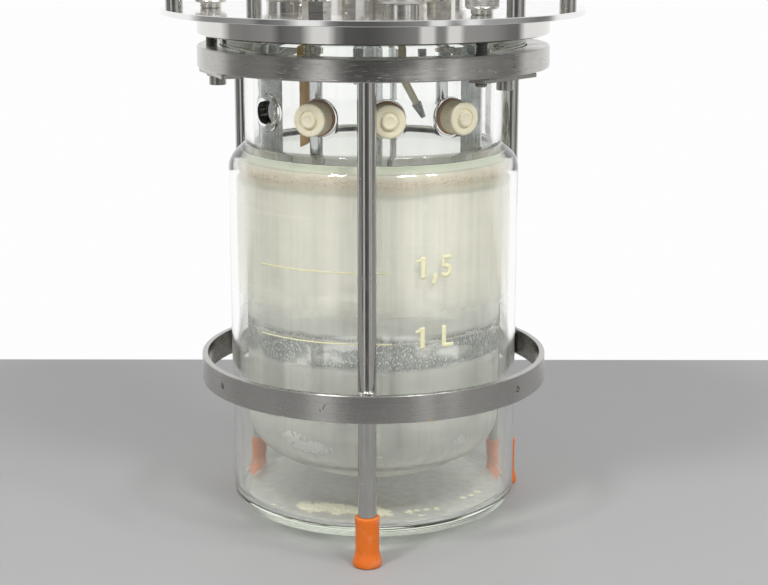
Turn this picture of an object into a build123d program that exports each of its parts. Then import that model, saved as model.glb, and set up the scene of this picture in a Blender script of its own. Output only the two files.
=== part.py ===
"""Bench bioreactor: a jacketed glass stirred vessel hung by its flange in a three-legged steel stand.

Millimetres, +Z up. The origin is on the vessel's axis, on the table. Bearings are degrees counter-clockwise
seen from above, counted from the front (-Y), so +90 is +X. A piece that stands off the axis is modelled at
the front, and is then swung round to its bearing.
"""

from build123d import *
from math import asin, cos, pi, radians, sin, sqrt
import os

# ---- Clearances and edges ---------------------------------------------------------------------------------
RUN = 0.05  # radial gap round a piece that turns, screws or is fitted in its seat
PASS = 0.35  # radial gap round a piece that only passes through a hole
FACE = 0.1  # axial gap under a piece that turns on a flat face
EDGE = 0.6  # chamfer on turned and milled edges

# ---- Glass vessel -----------------------------------------------------------------------------------------
TABLE_CLEAR = 10.0  # jacket base above the table
VESSEL_H = 258.2  # jacket base to flange top
INNER_R = 65.0  # bore of vessel and neck
INNER_WALL = 4.5
JACKET_GAP = 5.1
JACKET_WALL = 4.0
JACKET_FLOOR = 4.5
JACKET_CORNER = 6.5  # outer radius round the base
DISH_CROWN = 104.0
DISH_KNUCKLE = 20.0
DISH_LIFT = 9.8  # space between dish and jacket floor
SHOULDER_DROP = 67.2  # glass top down to where the jacket starts to close
SHOULDER_RISE = 9.4
SHOULDER_FILLET = 13.0
NECK_FILLET = 5.0
JOIN_WALL = 7.5  # height of the fused glass where the jacket meets the neck
GLASS_CUT = 5.0  # from the start of the shoulder down to the plane that parts the glass
GLASS_FLANGE_T = 10.0
GLASS_FLANGE_OVER = 2.9  # flange reaches this far past the jacket
GLASS_RIM = 2.5  # rounding of the flange's edge

SIDE_PORT_DROP = 38.0  # port axis below the flange top
SIDE_PORT_R = 9.7
SIDE_PORT_BORE_R = 6.0
SIDE_PORT_PROUD = 0.8  # port face past the neck
SIDE_PORT_FIRST = -51.0
SIDE_PORT_PITCH = 28.4
SIDE_PORTS = 4
PORT_LIP = 1.2

HOSE_END_R = 5.0
HOSE_END_BORE_R = 3.0
HOSE_END_FLARE = 1.5  # thickened root outside the jacket
HOSE_END_LENGTH = 22.0
HOSE_END_BEARING = 183.5
HOSE_END_LOW = 27.0  # above the base
HOSE_END_HIGH = 19.0  # below the start of the shoulder

# ---- Side plugs -------------------------------------------------------------------------------------------
WASHER_T = 1.7
WASHER_R = 9.2
PLUG_R = 8.4
PLUG_LENGTH = 10.1
PLUG_BOSS_R = 3.9
PLUG_BOSS_H = 1.2
PLUG_GROOVE_W = 1.2
PLUG_GROOVE_H = 0.6
PLUG_STEM = 5.0

# ---- Stand ------------------------------------------------------------------------------------------------
RING_EDGE = 7.7  # stud circle to the outside of flange ring and lid plate
RING_T = 11.5
RING_BORE_CLEAR = 0.8  # round the jacket, so that the vessel drops through
COUNTERBORE = 5.4
COUNTERBORE_CLEAR = 0.6
SEAT_T = 1.5
BAND_T = 3.0
BAND_H = 14.4
BAND_Z = 79.1
BAND_HOLE_R = 1.65
BAND_HOLE_TURNS = (55.0, 180.0, -55.0)  # from the front leg to each hole
LEGS = 3  # studs, baffles and band holes come in the same number
LEG_R = 4.8
LEG_CLEAR = 3.9  # jacket to leg
LEG_FIRST = -1.8
LEG_SPIGOT_R = 3.0
LEG_SPIGOT_H = 7.0
WELD_R = 2.6
FOOT_H = 27.0
FOOT_TOP_R = 6.4
FOOT_BASE_R = 7.5
FOOT_FLARE_H = 8.0
FOOT_BASE_ROUND = 2.0
FOOT_FLARE_ROUND = 8.0
FOOT_BASE_H = 8 / 3  # upright part of the base
FOOT_SOLE = 4.0
FOOT_ROUND = 1.2
FOOT_LIP = 1.6 / 3  # rounding round the leg

STUD_R = 3.0
STUD_OUT = 4.8  # glass flange to the studs' axes
STUD_FIRST = -81.3
STUD_TAIL = 2.2  # below its bar
STUD_PROUD = 1.8  # above its nut
BAR_LENGTH = 46.0
BAR_W = 10.6
BAR_T = 2.4
BAR_BEYOND = 4.1  # studs' axes to the bar's outer edge
BAR_SCREW_TURN = 12.0  # from the stud to the bar's screw
BAR_SCREW_R = 2.5
BAR_SCREW_HEAD_R = 4.4
BAR_SCREW_HEAD_H = 5.0
BAR_SCREW_GRIP = 7.0
BAR_SCREW_HEX = 4.0

# ---- Lid --------------------------------------------------------------------------------------------------
LID_GAP = 0.2  # lid plate above the glass, bridged by the seal
LID_T = 10.2
DISC_OVER = 18.6  # disc past the lid plate
DISC_T = 3.0
SEAL_OUT = 9.0  # bore to the middle of the seal
SEAL_W = 5.4
SEAL_GROOVE_W = 6.2
SEAL_GROOVE_H = 3.8
SEAL_ROUND = 1.6

NUT_R = 8.5
NUT_H = 15.0
NUT_COLLAR_R = 5.6
NUT_COLLAR_H = 2.7
NUT_EDGE = 0.9

HANDLE_R = 4.6
HANDLE_INSET = 7.2  # disc's edge to the posts' axes
HANDLE_FIRST = 41.4
HANDLE_SPAN = 54.6
HANDLE_RISE = 57.0
HANDLE_BEND = 14.0
HANDLE_SCREW_R = 2.0
HANDLE_SCREW_HEAD_R = 3.9
HANDLE_SCREW_HEAD_H = 2.1
HANDLE_SCREW_GRIP = 9.0
HANDLE_SCREW_HEX = 2.5

# ---- Lid ports: bearing, and whether a hose barb hangs below ----------------------------------------------
LID_PORT_INSET = 15.0  # vessel's bore to the ports' axes
LEFT_PORT_BEARING = -68.0
FRONT_PORT_BEARING = 16.5
REAR_PORT_BEARING = 128.0
LID_PORTS = {
    "left": (LEFT_PORT_BEARING, False),
    "front": (FRONT_PORT_BEARING, True),
    "rear": (REAR_PORT_BEARING, False),
}
PORT_BODY_R = 9.4
PORT_BODY_H = 4.4
PORT_NECK_R = 8.0
PORT_NECK_H = 9.0
PORT_SHANK_R = 7.4
PORT_TAIL = 4.0
PORT_BORE_R = 5.0
CAP_R = 11.6
CAP_ROOF = 3.0
CAP_EDGE = 1.0
CAP_FLOAT = 0.4  # gap under the cap's roof
BARB_R = 1.0
BARB_BORE_R = 0.5
BARB_H = 9.0
BARB_ROOT = 3.0  # closed floor over the barb

# ---- Glands and their dip tubes ---------------------------------------------------------------------------
HARVEST_INSET = 10.2  # vessel's bore to the tube's axis
HARVEST_BEARING = -31.3
HARVEST_R = 3.25
HARVEST_RISE = 14.0  # tube above its nut
HARVEST_FOOT = 22.0  # tube's end above the dish
VENT_OUT = 8.7  # hub flange to the tube's axis
VENT_BEARING = -13.1
VENT_R = 3.0
VENT_RISE = 22.0
VENT_DOWN = 24.6  # tube's end below the lid plate
INOCULATION_INSET = 13.0
INOCULATION_BEARING = 42.0
INOCULATION_R = 3.0
INOCULATION_RISE = 18.0
INOCULATION_DOWN = 34.6
THERMOWELL_OUT = 9.0
THERMOWELL_BEARING = 160.0
THERMOWELL_R = 1.9
THERMOWELL_RISE = 10.0
THERMOWELL_FOOT = 20.0
GLAND_FLATS = 12.7
GLAND_HEX_H = 5.5
GLAND_NECK_R = 4.9
GLAND_NECK_H = 5.0
GLAND_SHANK_R = 4.7
GLAND_TAIL = 7.5
GLAND_NUT_H = 8.0
GLAND_NUT_LIFT = 0.9  # nut above the hexagon of the body
TUBE_WALL = 0.8

# ---- Addition nipple and the two hose stubs ---------------------------------------------------------------
NIPPLE_INSET = 17.6  # vessel's bore to the nipple's axis
NIPPLE_BEARING = -47.6
NIPPLE_R = 1.6
NIPPLE_BORE_R = 0.9
NIPPLE_SHANK_R = 2.4
NIPPLE_COLLAR_R = 3.6
NIPPLE_COLLAR_H = 3.0
NIPPLE_UP = 12.0
NIPPLE_DOWN = 10.0
NIPPLE_LIP = 1.5  # shank showing under the lid plate
AMBER_R = 2.75
AMBER_LENGTH = 56.0
CREAM_R = 1.9
CREAM_DROP = 14.0
CREAM_SWING = 8.0
CREAM_FALL = 15.0
CREAM_BEND = 12.0
NOZZLE_R = 2.6
NOZZLE_TIP_R = 1.2
NOZZLE_H = 8.0
NOZZLE_PLUG_H = 3.0

# ---- Baffles ----------------------------------------------------------------------------------------------
BAFFLE_FIRST = -62.0
BAFFLE_W = 10.5
BAFFLE_T = 1.5
BAFFLE_ROUND = 2.625  # lower corners of the strip
BAFFLE_WALL_CLEAR = 1.0
BAFFLE_FOOT = 2.0  # above the start of the dish
BAFFLE_HEAD = 6.0  # below the lid plate
BAFFLE_STUD_R = 2.0
BAFFLE_STUD_OUT = 1.7  # stud past the middle of the strip
BAFFLE_STUD_UP = 6.0
BAFFLE_STUD_DOWN = 9.0
BAFFLE_NUT_FLATS = 7.0
BAFFLE_NUT_H = 3.4

# ---- Stirrer drive ----------------------------------------------------------------------------------------
SHAFT_R = 5.0
BEARING_R = 13.0
BEARING_W = 8.0
HUB_FLANGE_R = 23.0
HUB_FLANGE_T = 7.0
HUB_R = 15.0
HUB_H = 30.0
HUB_LAND_R = 10.0
HUB_SPIGOT_DOWN = 6.0  # below the lid plate
HUB_SCREWS = 4
HUB_SCREW_FIRST = 45.0
HUB_SCREW_CIRCLE = 19.0
HUB_SCREW_R = 2.0
HUB_SCREW_HEAD_R = 3.4
HUB_SCREW_HEAD_H = 4.0
HUB_SCREW_GRIP = 5.0
HUB_SCREW_HEX = 3.0
COVER_T = 3.0
SEAL_DISC_R = 12.0
SEAL_DISC_H = 3.0
COUPLING_R = 11.0
COUPLING_H = 18.0
COUPLING_FLOOR = 4.0
COUPLING_SLOT_W = 5.0
COUPLING_SLOT_H = 6.0

IMPELLER_LOW = 15.2  # middle of the blades above the dish
IMPELLER_HIGH = 83.7
IMPELLER_R = 25.0
IMPELLER_HUB_R = 9.0
IMPELLER_DISC_R = 17.5
BLADE_H = 14.0
BLADE_T = 1.6
BLADE_LENGTH = 13.0
BLADES = 6
SHAFT_TAIL = 3.0  # below the lower impeller

# ---- Derived places ---------------------------------------------------------------------------------------
VESSEL_OUT_R = INNER_R + INNER_WALL
JACKET_IN_R = VESSEL_OUT_R + JACKET_GAP
JACKET_R = JACKET_IN_R + JACKET_WALL
GLASS_FLANGE_R = JACKET_R + GLASS_FLANGE_OVER
BASE_Z = TABLE_CLEAR
GLASS_TOP = BASE_Z + VESSEL_H
DISH_Z = BASE_Z + JACKET_FLOOR + DISH_LIFT + INNER_WALL
DISH_DEPTH = DISH_CROWN - sqrt((DISH_CROWN - DISH_KNUCKLE) ** 2 - (INNER_R - DISH_KNUCKLE) ** 2)
DISH_TOP = DISH_Z + DISH_DEPTH
SHOULDER_Z = GLASS_TOP - SHOULDER_DROP
GLASS_CUT_Z = SHOULDER_Z - GLASS_CUT
HOSE_END_PLACES = (BASE_Z + HOSE_END_LOW, SHOULDER_Z - HOSE_END_HIGH)
SIDE_PORT_Z = GLASS_TOP - SIDE_PORT_DROP
SIDE_PORT_FACE = VESSEL_OUT_R + SIDE_PORT_PROUD

SEAT_Z = GLASS_TOP - GLASS_FLANGE_T - SEAT_T
RING_TOP = SEAT_Z + COUNTERBORE
RING_Z = RING_TOP - RING_T
RING_BORE = JACKET_R + RING_BORE_CLEAR
LEG_CIRCLE = JACKET_R + LEG_CLEAR + LEG_R
BAND_R = LEG_CIRCLE + LEG_R + BAND_T
STUD_CIRCLE = GLASS_FLANGE_R + STUD_OUT
RING_R = STUD_CIRCLE + RING_EDGE
BAR_OUT = STUD_CIRCLE + BAR_BEYOND

DISC_R = RING_R + DISC_OVER
HANDLE_CIRCLE = DISC_R - HANDLE_INSET
SEAL_R = INNER_R + SEAL_OUT
LID_PORT_CIRCLE = INNER_R - LID_PORT_INSET
NIPPLE_CIRCLE = INNER_R - NIPPLE_INSET
LID_Z = GLASS_TOP + LID_GAP
DISC_Z = LID_Z + LID_T
TOP_Z = DISC_Z + DISC_T
NUT_TOP = TOP_Z + FACE + NUT_COLLAR_H + NUT_H
HUB_TOP = TOP_Z + HUB_FLANGE_T + HUB_H
SPIGOT_Z = LID_Z - HUB_SPIGOT_DOWN
GLAND_NUT_Z = TOP_Z + GLAND_HEX_H + GLAND_NUT_LIFT
BAFFLE_CIRCLE = INNER_R - BAFFLE_WALL_CLEAR - BAFFLE_W / 2
HIGH_IMPELLER_Z = DISH_Z + IMPELLER_HIGH
LOW_IMPELLER_Z = DISH_Z + IMPELLER_LOW

# Each gland's circle, bearing, tube radius, tube's rise above the nut and height of the tube's end.
GLANDS = {
    "harvest": (INNER_R - HARVEST_INSET, HARVEST_BEARING, HARVEST_R, HARVEST_RISE, DISH_Z + HARVEST_FOOT),
    "vent": (HUB_FLANGE_R + VENT_OUT, VENT_BEARING, VENT_R, VENT_RISE, LID_Z - VENT_DOWN),
    "inoculation": (
        INNER_R - INOCULATION_INSET,
        INOCULATION_BEARING,
        INOCULATION_R,
        INOCULATION_RISE,
        LID_Z - INOCULATION_DOWN,
    ),
    "thermowell": (
        HUB_FLANGE_R + THERMOWELL_OUT,
        THERMOWELL_BEARING,
        THERMOWELL_R,
        THERMOWELL_RISE,
        DISH_Z + THERMOWELL_FOOT,
    ),
}


# ---- Helpers ----------------------------------------------------------------------------------------------
def rod(radius, low, high):
    """Upright cylinder on the axis between two heights."""
    return Pos(0, 0, low) * Cylinder(radius, high - low, align=(Align.CENTER, Align.CENTER, Align.MIN))


def tube(radius, bore, low, high):
    """Upright tube on the axis between two heights."""
    return rod(radius, low, high) - rod(bore, low - 1, high + 1)


def hexagon(flats, low, high):
    """Upright hexagon bar on the axis, with a flat to the front."""
    outline = RegularPolygon(flats / 2, 6, major_radius=False, rotation=30)
    return Pos(0, 0, low) * extrude(outline, high - low)


def swung(piece, radius, bearing):
    """A piece on the axis, moved out to the front and swung round to its bearing."""
    return Rot(0, 0, bearing) * Pos(0, -radius, 0) * piece


def turned(outline):
    """Solid turned about the axis from its half section."""
    return revolve(Plane.XZ * outline, Axis.Z)


def flat_outline(points):
    """Closed face through (radius, height) points."""
    return make_face(Polyline(*points, close=True))


def rounded_outline(points, corners):
    """Closed face through points, with the corner at each index in corners rounded to its radius."""
    face = flat_outline(points)
    for index, radius in corners:
        spot = Vector(*points[index])
        corner = min(face.vertices(), key=lambda v: (Vector(*v) - spot).length)
        face = fillet(corner, radius)
    return face


def ends_chamfered(piece, size):
    """Chamfers the outermost circular edges at the top and bottom of an upright piece."""
    rims = piece.edges().filter_by(GeomType.CIRCLE).group_by(Axis.Z)
    top = max(rims[-1], key=lambda edge: edge.radius)
    bottom = max(rims[0], key=lambda edge: edge.radius)
    return chamfer([top, bottom], size)


def socket_screw(shank_r, grip, head_r, head_h, key):
    """Cap screw with its head standing on the plane z = 0 and its shank below."""
    head = chamfer(rod(head_r, 0, head_h).edges().group_by(Axis.Z)[-1], EDGE / 2)
    shank = rod(shank_r, -grip, 0)
    return head + shank - hexagon(key, head_h / 2, head_h + 1)


def upside_down(piece):
    """Turns a piece over about the X axis."""
    return Rot(180, 0, 0) * piece


# ---- Glass vessel -----------------------------------------------------------------------------------------
def dish_outline(radius, offset, top):
    """Half section from the axis up to a height: crown arc, knuckle arc, straight wall."""
    crown = DISH_CROWN + offset
    knuckle = DISH_KNUCKLE + offset
    knuckle_r = INNER_R - DISH_KNUCKLE
    crown_z = DISH_Z + DISH_CROWN
    lean = knuckle_r / (DISH_CROWN - DISH_KNUCKLE)
    meet = (crown * lean, crown_z - crown * sqrt(1 - lean**2))
    bottom = (0, crown_z - crown)
    half = crown * sin(asin(lean) / 2)
    middle = (half, crown_z - sqrt(crown**2 - half**2))
    turn = (pi / 2 + asin(lean)) / 2
    bend = (knuckle_r + knuckle * sin(turn), DISH_TOP - knuckle * cos(turn))
    arc_crown = ThreePointArc(bottom, middle, meet)
    arc_knuckle = ThreePointArc(meet, bend, (radius, DISH_TOP))
    rest = Polyline((radius, DISH_TOP), (radius, top), (0, top), bottom)
    return make_face([arc_crown, arc_knuckle, rest])


def jacket_outline(radius, floor, corner, foot, neck_r, neck_fillet, shoulder_fillet):
    """Half section inside a jacket surface: floor, rounded base, wall and sloping shoulder up to the neck."""
    top = foot + SHOULDER_RISE
    points = [(0, floor), (radius, floor), (radius, foot), (neck_r, top), (neck_r, GLASS_TOP), (0, GLASS_TOP)]
    return rounded_outline(points, [(1, corner), (2, shoulder_fillet), (3, neck_fillet)])


def flange_outline():
    """Half section of the ground glass flange with its rounded rim and the flare from the neck."""
    low = GLASS_TOP - GLASS_FLANGE_T
    flare = low - (GLASS_FLANGE_R - VESSEL_OUT_R) / 2
    points = [
        (INNER_R, flare),
        (VESSEL_OUT_R, flare),
        (RING_BORE - COUNTERBORE_CLEAR, low),
        (GLASS_FLANGE_R, low),
        (GLASS_FLANGE_R, GLASS_TOP),
        (INNER_R, GLASS_TOP),
    ]
    return rounded_outline(points, [(3, GLASS_RIM / 2), (4, GLASS_RIM)])


def side_port_bearing(index):
    return SIDE_PORT_FIRST + index * SIDE_PORT_PITCH


def laid_out(piece, near, height, bearing):
    """Lays an upright piece along a bearing, pointing away from the axis, with its foot at a radius."""
    return Rot(0, 0, bearing) * Pos(0, -near, height) * Rot(90, 0, 0) * piece


def radial_rod(radius, near, far, height, bearing):
    """Cylinder whose axis points away from the vessel's axis at a bearing."""
    return laid_out(rod(radius, 0, far - near), near, height, bearing)


def fused_glass():
    """The glass but for its side ports: vessel, jacket, shoulder, neck and flange."""
    outline = jacket_outline(
        JACKET_R, BASE_Z, JACKET_CORNER, SHOULDER_Z, VESSEL_OUT_R, NECK_FILLET, SHOULDER_FILLET
    )
    outside = turned(outline)
    outside += turned(flange_outline())
    jacket_space = turned(
        jacket_outline(
            JACKET_IN_R,
            BASE_Z + JACKET_FLOOR,
            JACKET_CORNER - JACKET_WALL,
            SHOULDER_Z - JOIN_WALL,
            VESSEL_OUT_R - INNER_WALL / 2,
            INNER_WALL / 4,
            SHOULDER_FILLET - JACKET_WALL,
        )
    )
    inner_shell = turned(dish_outline(VESSEL_OUT_R, INNER_WALL, GLASS_TOP + 1))
    inside = turned(dish_outline(INNER_R, 0, GLASS_TOP + 1))
    glass = outside - (jacket_space - inner_shell)
    for height in HOSE_END_PLACES:
        near = JACKET_R - JACKET_WALL / 2
        far = JACKET_R + HOSE_END_LENGTH
        root = JACKET_WALL / 2 + HOSE_END_FLARE
        stub = radial_rod(HOSE_END_R, near, far, height, HOSE_END_BEARING)
        flare = Cone(HOSE_END_R + root, HOSE_END_R, root, align=(Align.CENTER, Align.CENTER, Align.MIN))
        stub += laid_out(flare, near, height, HOSE_END_BEARING)
        bore = radial_rod(HOSE_END_BORE_R, JACKET_IN_R - 1, far + 1, height, HOSE_END_BEARING)
        glass = glass + stub - bore
    glass -= inside
    for index in range(SIDE_PORTS):
        glass -= radial_rod(SIDE_PORT_R, INNER_R / 2, JACKET_R + 1, SIDE_PORT_Z, side_port_bearing(index))
    return glass


def glass_pieces():
    """Neck, vessel and jacket: the fused glass, parted where the two walls have not yet joined.

    The three meet face to face on the plane. Neck is the ring above it, vessel the cup inside, and
    jacket the wider cup round it.
    """
    glass = fused_glass()
    above = rod(2 * JACKET_R, GLASS_CUT_Z, GLASS_TOP + 1)
    vessel, jacket = sorted((glass - above).solids(), key=lambda solid: solid.bounding_box().size.X)
    return {"glass_neck": glass & above, "glass_vessel": vessel, "glass_jacket": jacket}


def side_port(index):
    """Short thick tube of glass, fused into its hole in the neck, with a rounded lip."""
    bearing = side_port_bearing(index)
    port = radial_rod(SIDE_PORT_R, INNER_R / 2, SIDE_PORT_FACE, SIDE_PORT_Z, bearing)
    rim = port.edges().filter_by(GeomType.CIRCLE).sort_by_distance((0, 0, SIDE_PORT_Z))[-1]
    port = fillet(rim, PORT_LIP)
    port -= rod(INNER_R, SIDE_PORT_Z - 2 * SIDE_PORT_R, SIDE_PORT_Z + 2 * SIDE_PORT_R)
    return port - radial_rod(SIDE_PORT_BORE_R, INNER_R / 2, JACKET_R + 1, SIDE_PORT_Z, bearing)


# ---- Side plugs, modelled upright with the glass face at z = 0 --------------------------------------------
def on_side_port(piece, index):
    """Lays an upright piece against the face of a side port."""
    return laid_out(piece, SIDE_PORT_FACE, SIDE_PORT_Z, side_port_bearing(index))


def plug_washer():
    return tube(WASHER_R, SIDE_PORT_BORE_R, 0, WASHER_T)


def side_plug():
    back = WASHER_T + FACE
    front = back + PLUG_LENGTH
    head = ends_chamfered(rod(PLUG_R, back, front), EDGE)
    groove = tube(PLUG_BOSS_R + PLUG_GROOVE_W, PLUG_BOSS_R, front - PLUG_GROOVE_H, front + 1)
    boss = chamfer(rod(PLUG_BOSS_R, front - EDGE, front + PLUG_BOSS_H).edges().group_by(Axis.Z)[-1], EDGE / 2)
    stem = rod(SIDE_PORT_BORE_R - RUN, -PLUG_STEM, back)
    return head - groove + boss + stem


# ---- Stand ------------------------------------------------------------------------------------------------
def leg_bearing(index):
    return LEG_FIRST + 360 / LEGS * index


def stud_bearing(index):
    return STUD_FIRST + 360 / LEGS * index


def baffle_bearing(index):
    return BAFFLE_FIRST + 360 / LEGS * index


def flange_ring():
    points = [
        (RING_BORE, RING_Z),
        (RING_R, RING_Z),
        (RING_R, RING_TOP),
        (GLASS_FLANGE_R + COUNTERBORE_CLEAR, RING_TOP),
        (GLASS_FLANGE_R + COUNTERBORE_CLEAR, SEAT_Z),
        (RING_BORE, SEAT_Z),
    ]
    ring = turned(flat_outline(points))
    rims = [edge for edge in ring.edges().filter_by(GeomType.CIRCLE) if abs(edge.radius - RING_R) < 0.01]
    ring = chamfer(rims, EDGE)
    for index in range(LEGS):
        ring -= swung(rod(STUD_R + RUN, RING_Z - 1, RING_TOP + 1), STUD_CIRCLE, stud_bearing(index))
        screw_hole = rod(BAR_SCREW_R + RUN, RING_Z - 1, RING_Z + BAR_SCREW_GRIP)
        ring -= swung(screw_hole, STUD_CIRCLE, stud_bearing(index) + BAR_SCREW_TURN)
        socket = rod(LEG_SPIGOT_R + RUN, RING_Z - 1, RING_Z + LEG_SPIGOT_H)
        ring -= swung(socket, LEG_CIRCLE, leg_bearing(index))
    return ring


def sector(index):
    """Tall wedge that reaches from one leg's bearing to the next."""
    reach = 3 * BAND_R
    turns = [leg_bearing(index) + 360 / LEGS * share for share in (0, 0.5, 1)]
    corners = [(reach * sin(radians(turn)), -reach * cos(radians(turn))) for turn in turns]
    outline = make_face(Polyline((0, 0), *corners, close=True))
    return Pos(0, 0, BAND_Z - BAND_H) * extrude(outline, 3 * BAND_H)


def holding_ring():
    """Band of one arc from leg to leg, welded behind each leg."""
    band = ends_chamfered(tube(BAND_R, BAND_R - BAND_T, BAND_Z, BAND_Z + BAND_H), EDGE / 2)
    for index in range(LEGS):
        bead = Pos(0, -(BAND_R - BAND_T), BAND_Z + BAND_H) * Sphere(WELD_R)
        bead -= Pos(0, -LEG_CIRCLE, 0) * rod(LEG_R, BAND_Z, BAND_Z + 2 * BAND_H)
        band += Rot(0, 0, leg_bearing(index)) * bead
        height = BAND_Z + BAND_H / 2
        bearing = LEG_FIRST + BAND_HOLE_TURNS[index]
        band -= radial_rod(BAND_HOLE_R, BAND_R - 2 * BAND_T, BAND_R + 1, height, bearing)
    return [band & sector(index) for index in range(LEGS)]


def leg():
    shaft = rod(LEG_R, FOOT_SOLE, RING_Z)
    shaft = chamfer(shaft.edges().group_by(Axis.Z)[0], EDGE)
    return shaft + rod(LEG_SPIGOT_R, RING_Z - EDGE, RING_Z + LEG_SPIGOT_H)


def foot():
    points = [
        (0, 0),
        (FOOT_BASE_R, 0),
        (FOOT_BASE_R, FOOT_BASE_H),
        (FOOT_TOP_R, FOOT_FLARE_H),
        (FOOT_TOP_R, FOOT_H),
        (LEG_R + RUN, FOOT_H),
        (LEG_R + RUN, FOOT_SOLE),
        (0, FOOT_SOLE),
    ]
    corners = [(1, FOOT_ROUND), (2, FOOT_BASE_ROUND), (3, FOOT_FLARE_ROUND), (4, FOOT_LIP)]
    return turned(rounded_outline(points, corners))


def clamp_stud():
    low = RING_Z - BAR_T - STUD_TAIL
    return ends_chamfered(rod(STUD_R, low, NUT_TOP + STUD_PROUD), EDGE)


def stud_bar():
    """Straight bar under the ring: stud hole at one side of the screw hole."""
    blank = Pos(0, -(BAR_OUT - BAR_W / 2), RING_Z - BAR_T / 2) * Box(BAR_LENGTH, BAR_W, BAR_T)
    blank = fillet(blank.edges().filter_by(Axis.Z), 2 * EDGE)
    blank = chamfer(blank.faces().sort_by(Axis.Z)[-1].edges(), EDGE)
    bar = blank - Rot(0, 0, -BAR_SCREW_TURN) * Pos(0, -STUD_CIRCLE, 0) * rod(STUD_R + RUN, 0, RING_Z + 1)
    return bar - Pos(0, -STUD_CIRCLE, 0) * rod(BAR_SCREW_R + RUN, 0, RING_Z + 1)


def bar_screw():
    screw = socket_screw(
        BAR_SCREW_R, BAR_T + BAR_SCREW_GRIP - EDGE, BAR_SCREW_HEAD_R, BAR_SCREW_HEAD_H, BAR_SCREW_HEX
    )
    return Pos(0, 0, RING_Z - BAR_T) * upside_down(screw)


def vessel_seat():
    outer = GLASS_FLANGE_R + COUNTERBORE_CLEAR - RUN
    return tube(outer, RING_BORE, SEAT_Z, SEAT_Z + SEAT_T)


# ---- Lid --------------------------------------------------------------------------------------------------
def lid_holes(low, high, stud_r):
    """Every round hole that the lid plate and the top disc share, as one list of cutters."""
    cutters = [swung(rod(stud_r, low, high), STUD_CIRCLE, stud_bearing(index)) for index in range(LEGS)]
    cutters.append(rod(HUB_R + RUN, low, high))
    for bearing, _ in LID_PORTS.values():
        cutters.append(swung(rod(PORT_SHANK_R + RUN, low, high), LID_PORT_CIRCLE, bearing))
    for circle, bearing, *_ in GLANDS.values():
        cutters.append(swung(rod(GLAND_SHANK_R + RUN, low, high), circle, bearing))
    cutters.append(swung(rod(NIPPLE_SHANK_R + RUN, low, high), NIPPLE_CIRCLE, NIPPLE_BEARING))
    return cutters


def hub_screw_places():
    """Radius and bearing of each hub screw."""
    return [(HUB_SCREW_CIRCLE, HUB_SCREW_FIRST + 360 / HUB_SCREWS * index) for index in range(HUB_SCREWS)]


def lid_plate():
    plate = ends_chamfered(rod(RING_R, LID_Z, DISC_Z), EDGE)
    plate -= tube(SEAL_R + SEAL_GROOVE_W / 2, SEAL_R - SEAL_GROOVE_W / 2, LID_Z - 1, LID_Z + SEAL_GROOVE_H)
    for cutter in lid_holes(LID_Z - 1, DISC_Z + 1, STUD_R + PASS):
        plate -= cutter
    for index in range(LEGS):
        hole = rod(BAFFLE_STUD_R + RUN, LID_Z - 1, LID_Z + BAFFLE_STUD_UP + EDGE)
        plate -= swung(hole, BAFFLE_CIRCLE + BAFFLE_STUD_OUT, baffle_bearing(index))
    for radius, bearing in hub_screw_places():
        plate -= swung(rod(HUB_SCREW_R + RUN, DISC_Z - HUB_SCREW_GRIP, DISC_Z + 1), radius, bearing)
    return plate


def handle_places():
    """Bearings of the four handle posts, in pairs."""
    return [(first, first + HANDLE_SPAN) for first in (HANDLE_FIRST, HANDLE_FIRST + 180)]


def top_disc():
    disc = ends_chamfered(rod(DISC_R, DISC_Z, TOP_Z), EDGE / 2)
    for cutter in lid_holes(DISC_Z - 1, TOP_Z + 1, STUD_R + PASS):
        disc -= cutter
    for radius, bearing in hub_screw_places():
        disc -= swung(rod(HUB_SCREW_R + PASS, DISC_Z - 1, TOP_Z + 1), radius, bearing)
    sink = handle_screw(PASS)
    for pair in handle_places():
        for bearing in pair:
            disc -= swung(sink, HANDLE_CIRCLE, bearing)
    return disc


def handle_screw(extra=0.0):
    """Countersunk screw with its head flush with the disc's underside, or its cutter with extra room."""
    head_r = HANDLE_SCREW_HEAD_R + extra
    shank_r = HANDLE_SCREW_R + extra
    points = [
        (0, DISC_Z),
        (head_r, DISC_Z),
        (shank_r, DISC_Z + HANDLE_SCREW_HEAD_H),
        (shank_r, TOP_Z + HANDLE_SCREW_GRIP - EDGE),
        (0, TOP_Z + HANDLE_SCREW_GRIP - EDGE),
    ]
    screw = turned(flat_outline(points))
    if extra:
        return screw
    return screw - hexagon(HANDLE_SCREW_HEX, DISC_Z - 1, DISC_Z + HANDLE_SCREW_HEAD_H / 2)


def handle(pair):
    """U-bent rod standing on the disc between two bearings on the handle circle."""
    feet = [
        (HANDLE_CIRCLE * sin(radians(bearing)), -HANDLE_CIRCLE * cos(radians(bearing))) for bearing in pair
    ]
    grip_z = TOP_Z + HANDLE_RISE
    path = FilletPolyline(
        (*feet[0], TOP_Z), (*feet[0], grip_z), (*feet[1], grip_z), (*feet[1], TOP_Z), radius=HANDLE_BEND
    )
    start = Plane(origin=(*feet[0], TOP_Z), z_dir=(0, 0, 1))
    bar = sweep(start * Circle(HANDLE_R), path=path)
    for bearing in pair:
        bar -= swung(rod(HANDLE_SCREW_R + RUN, TOP_Z - 1, TOP_Z + HANDLE_SCREW_GRIP), HANDLE_CIRCLE, bearing)
    return bar


def lid_seal():
    half = SEAL_W / 2
    low = GLASS_TOP + RUN
    high = LID_Z + SEAL_GROOVE_H
    points = [(SEAL_R - half, low), (SEAL_R + half, low), (SEAL_R + half, high), (SEAL_R - half, high)]
    return turned(rounded_outline(points, [(corner, SEAL_ROUND) for corner in range(4)]))


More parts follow.
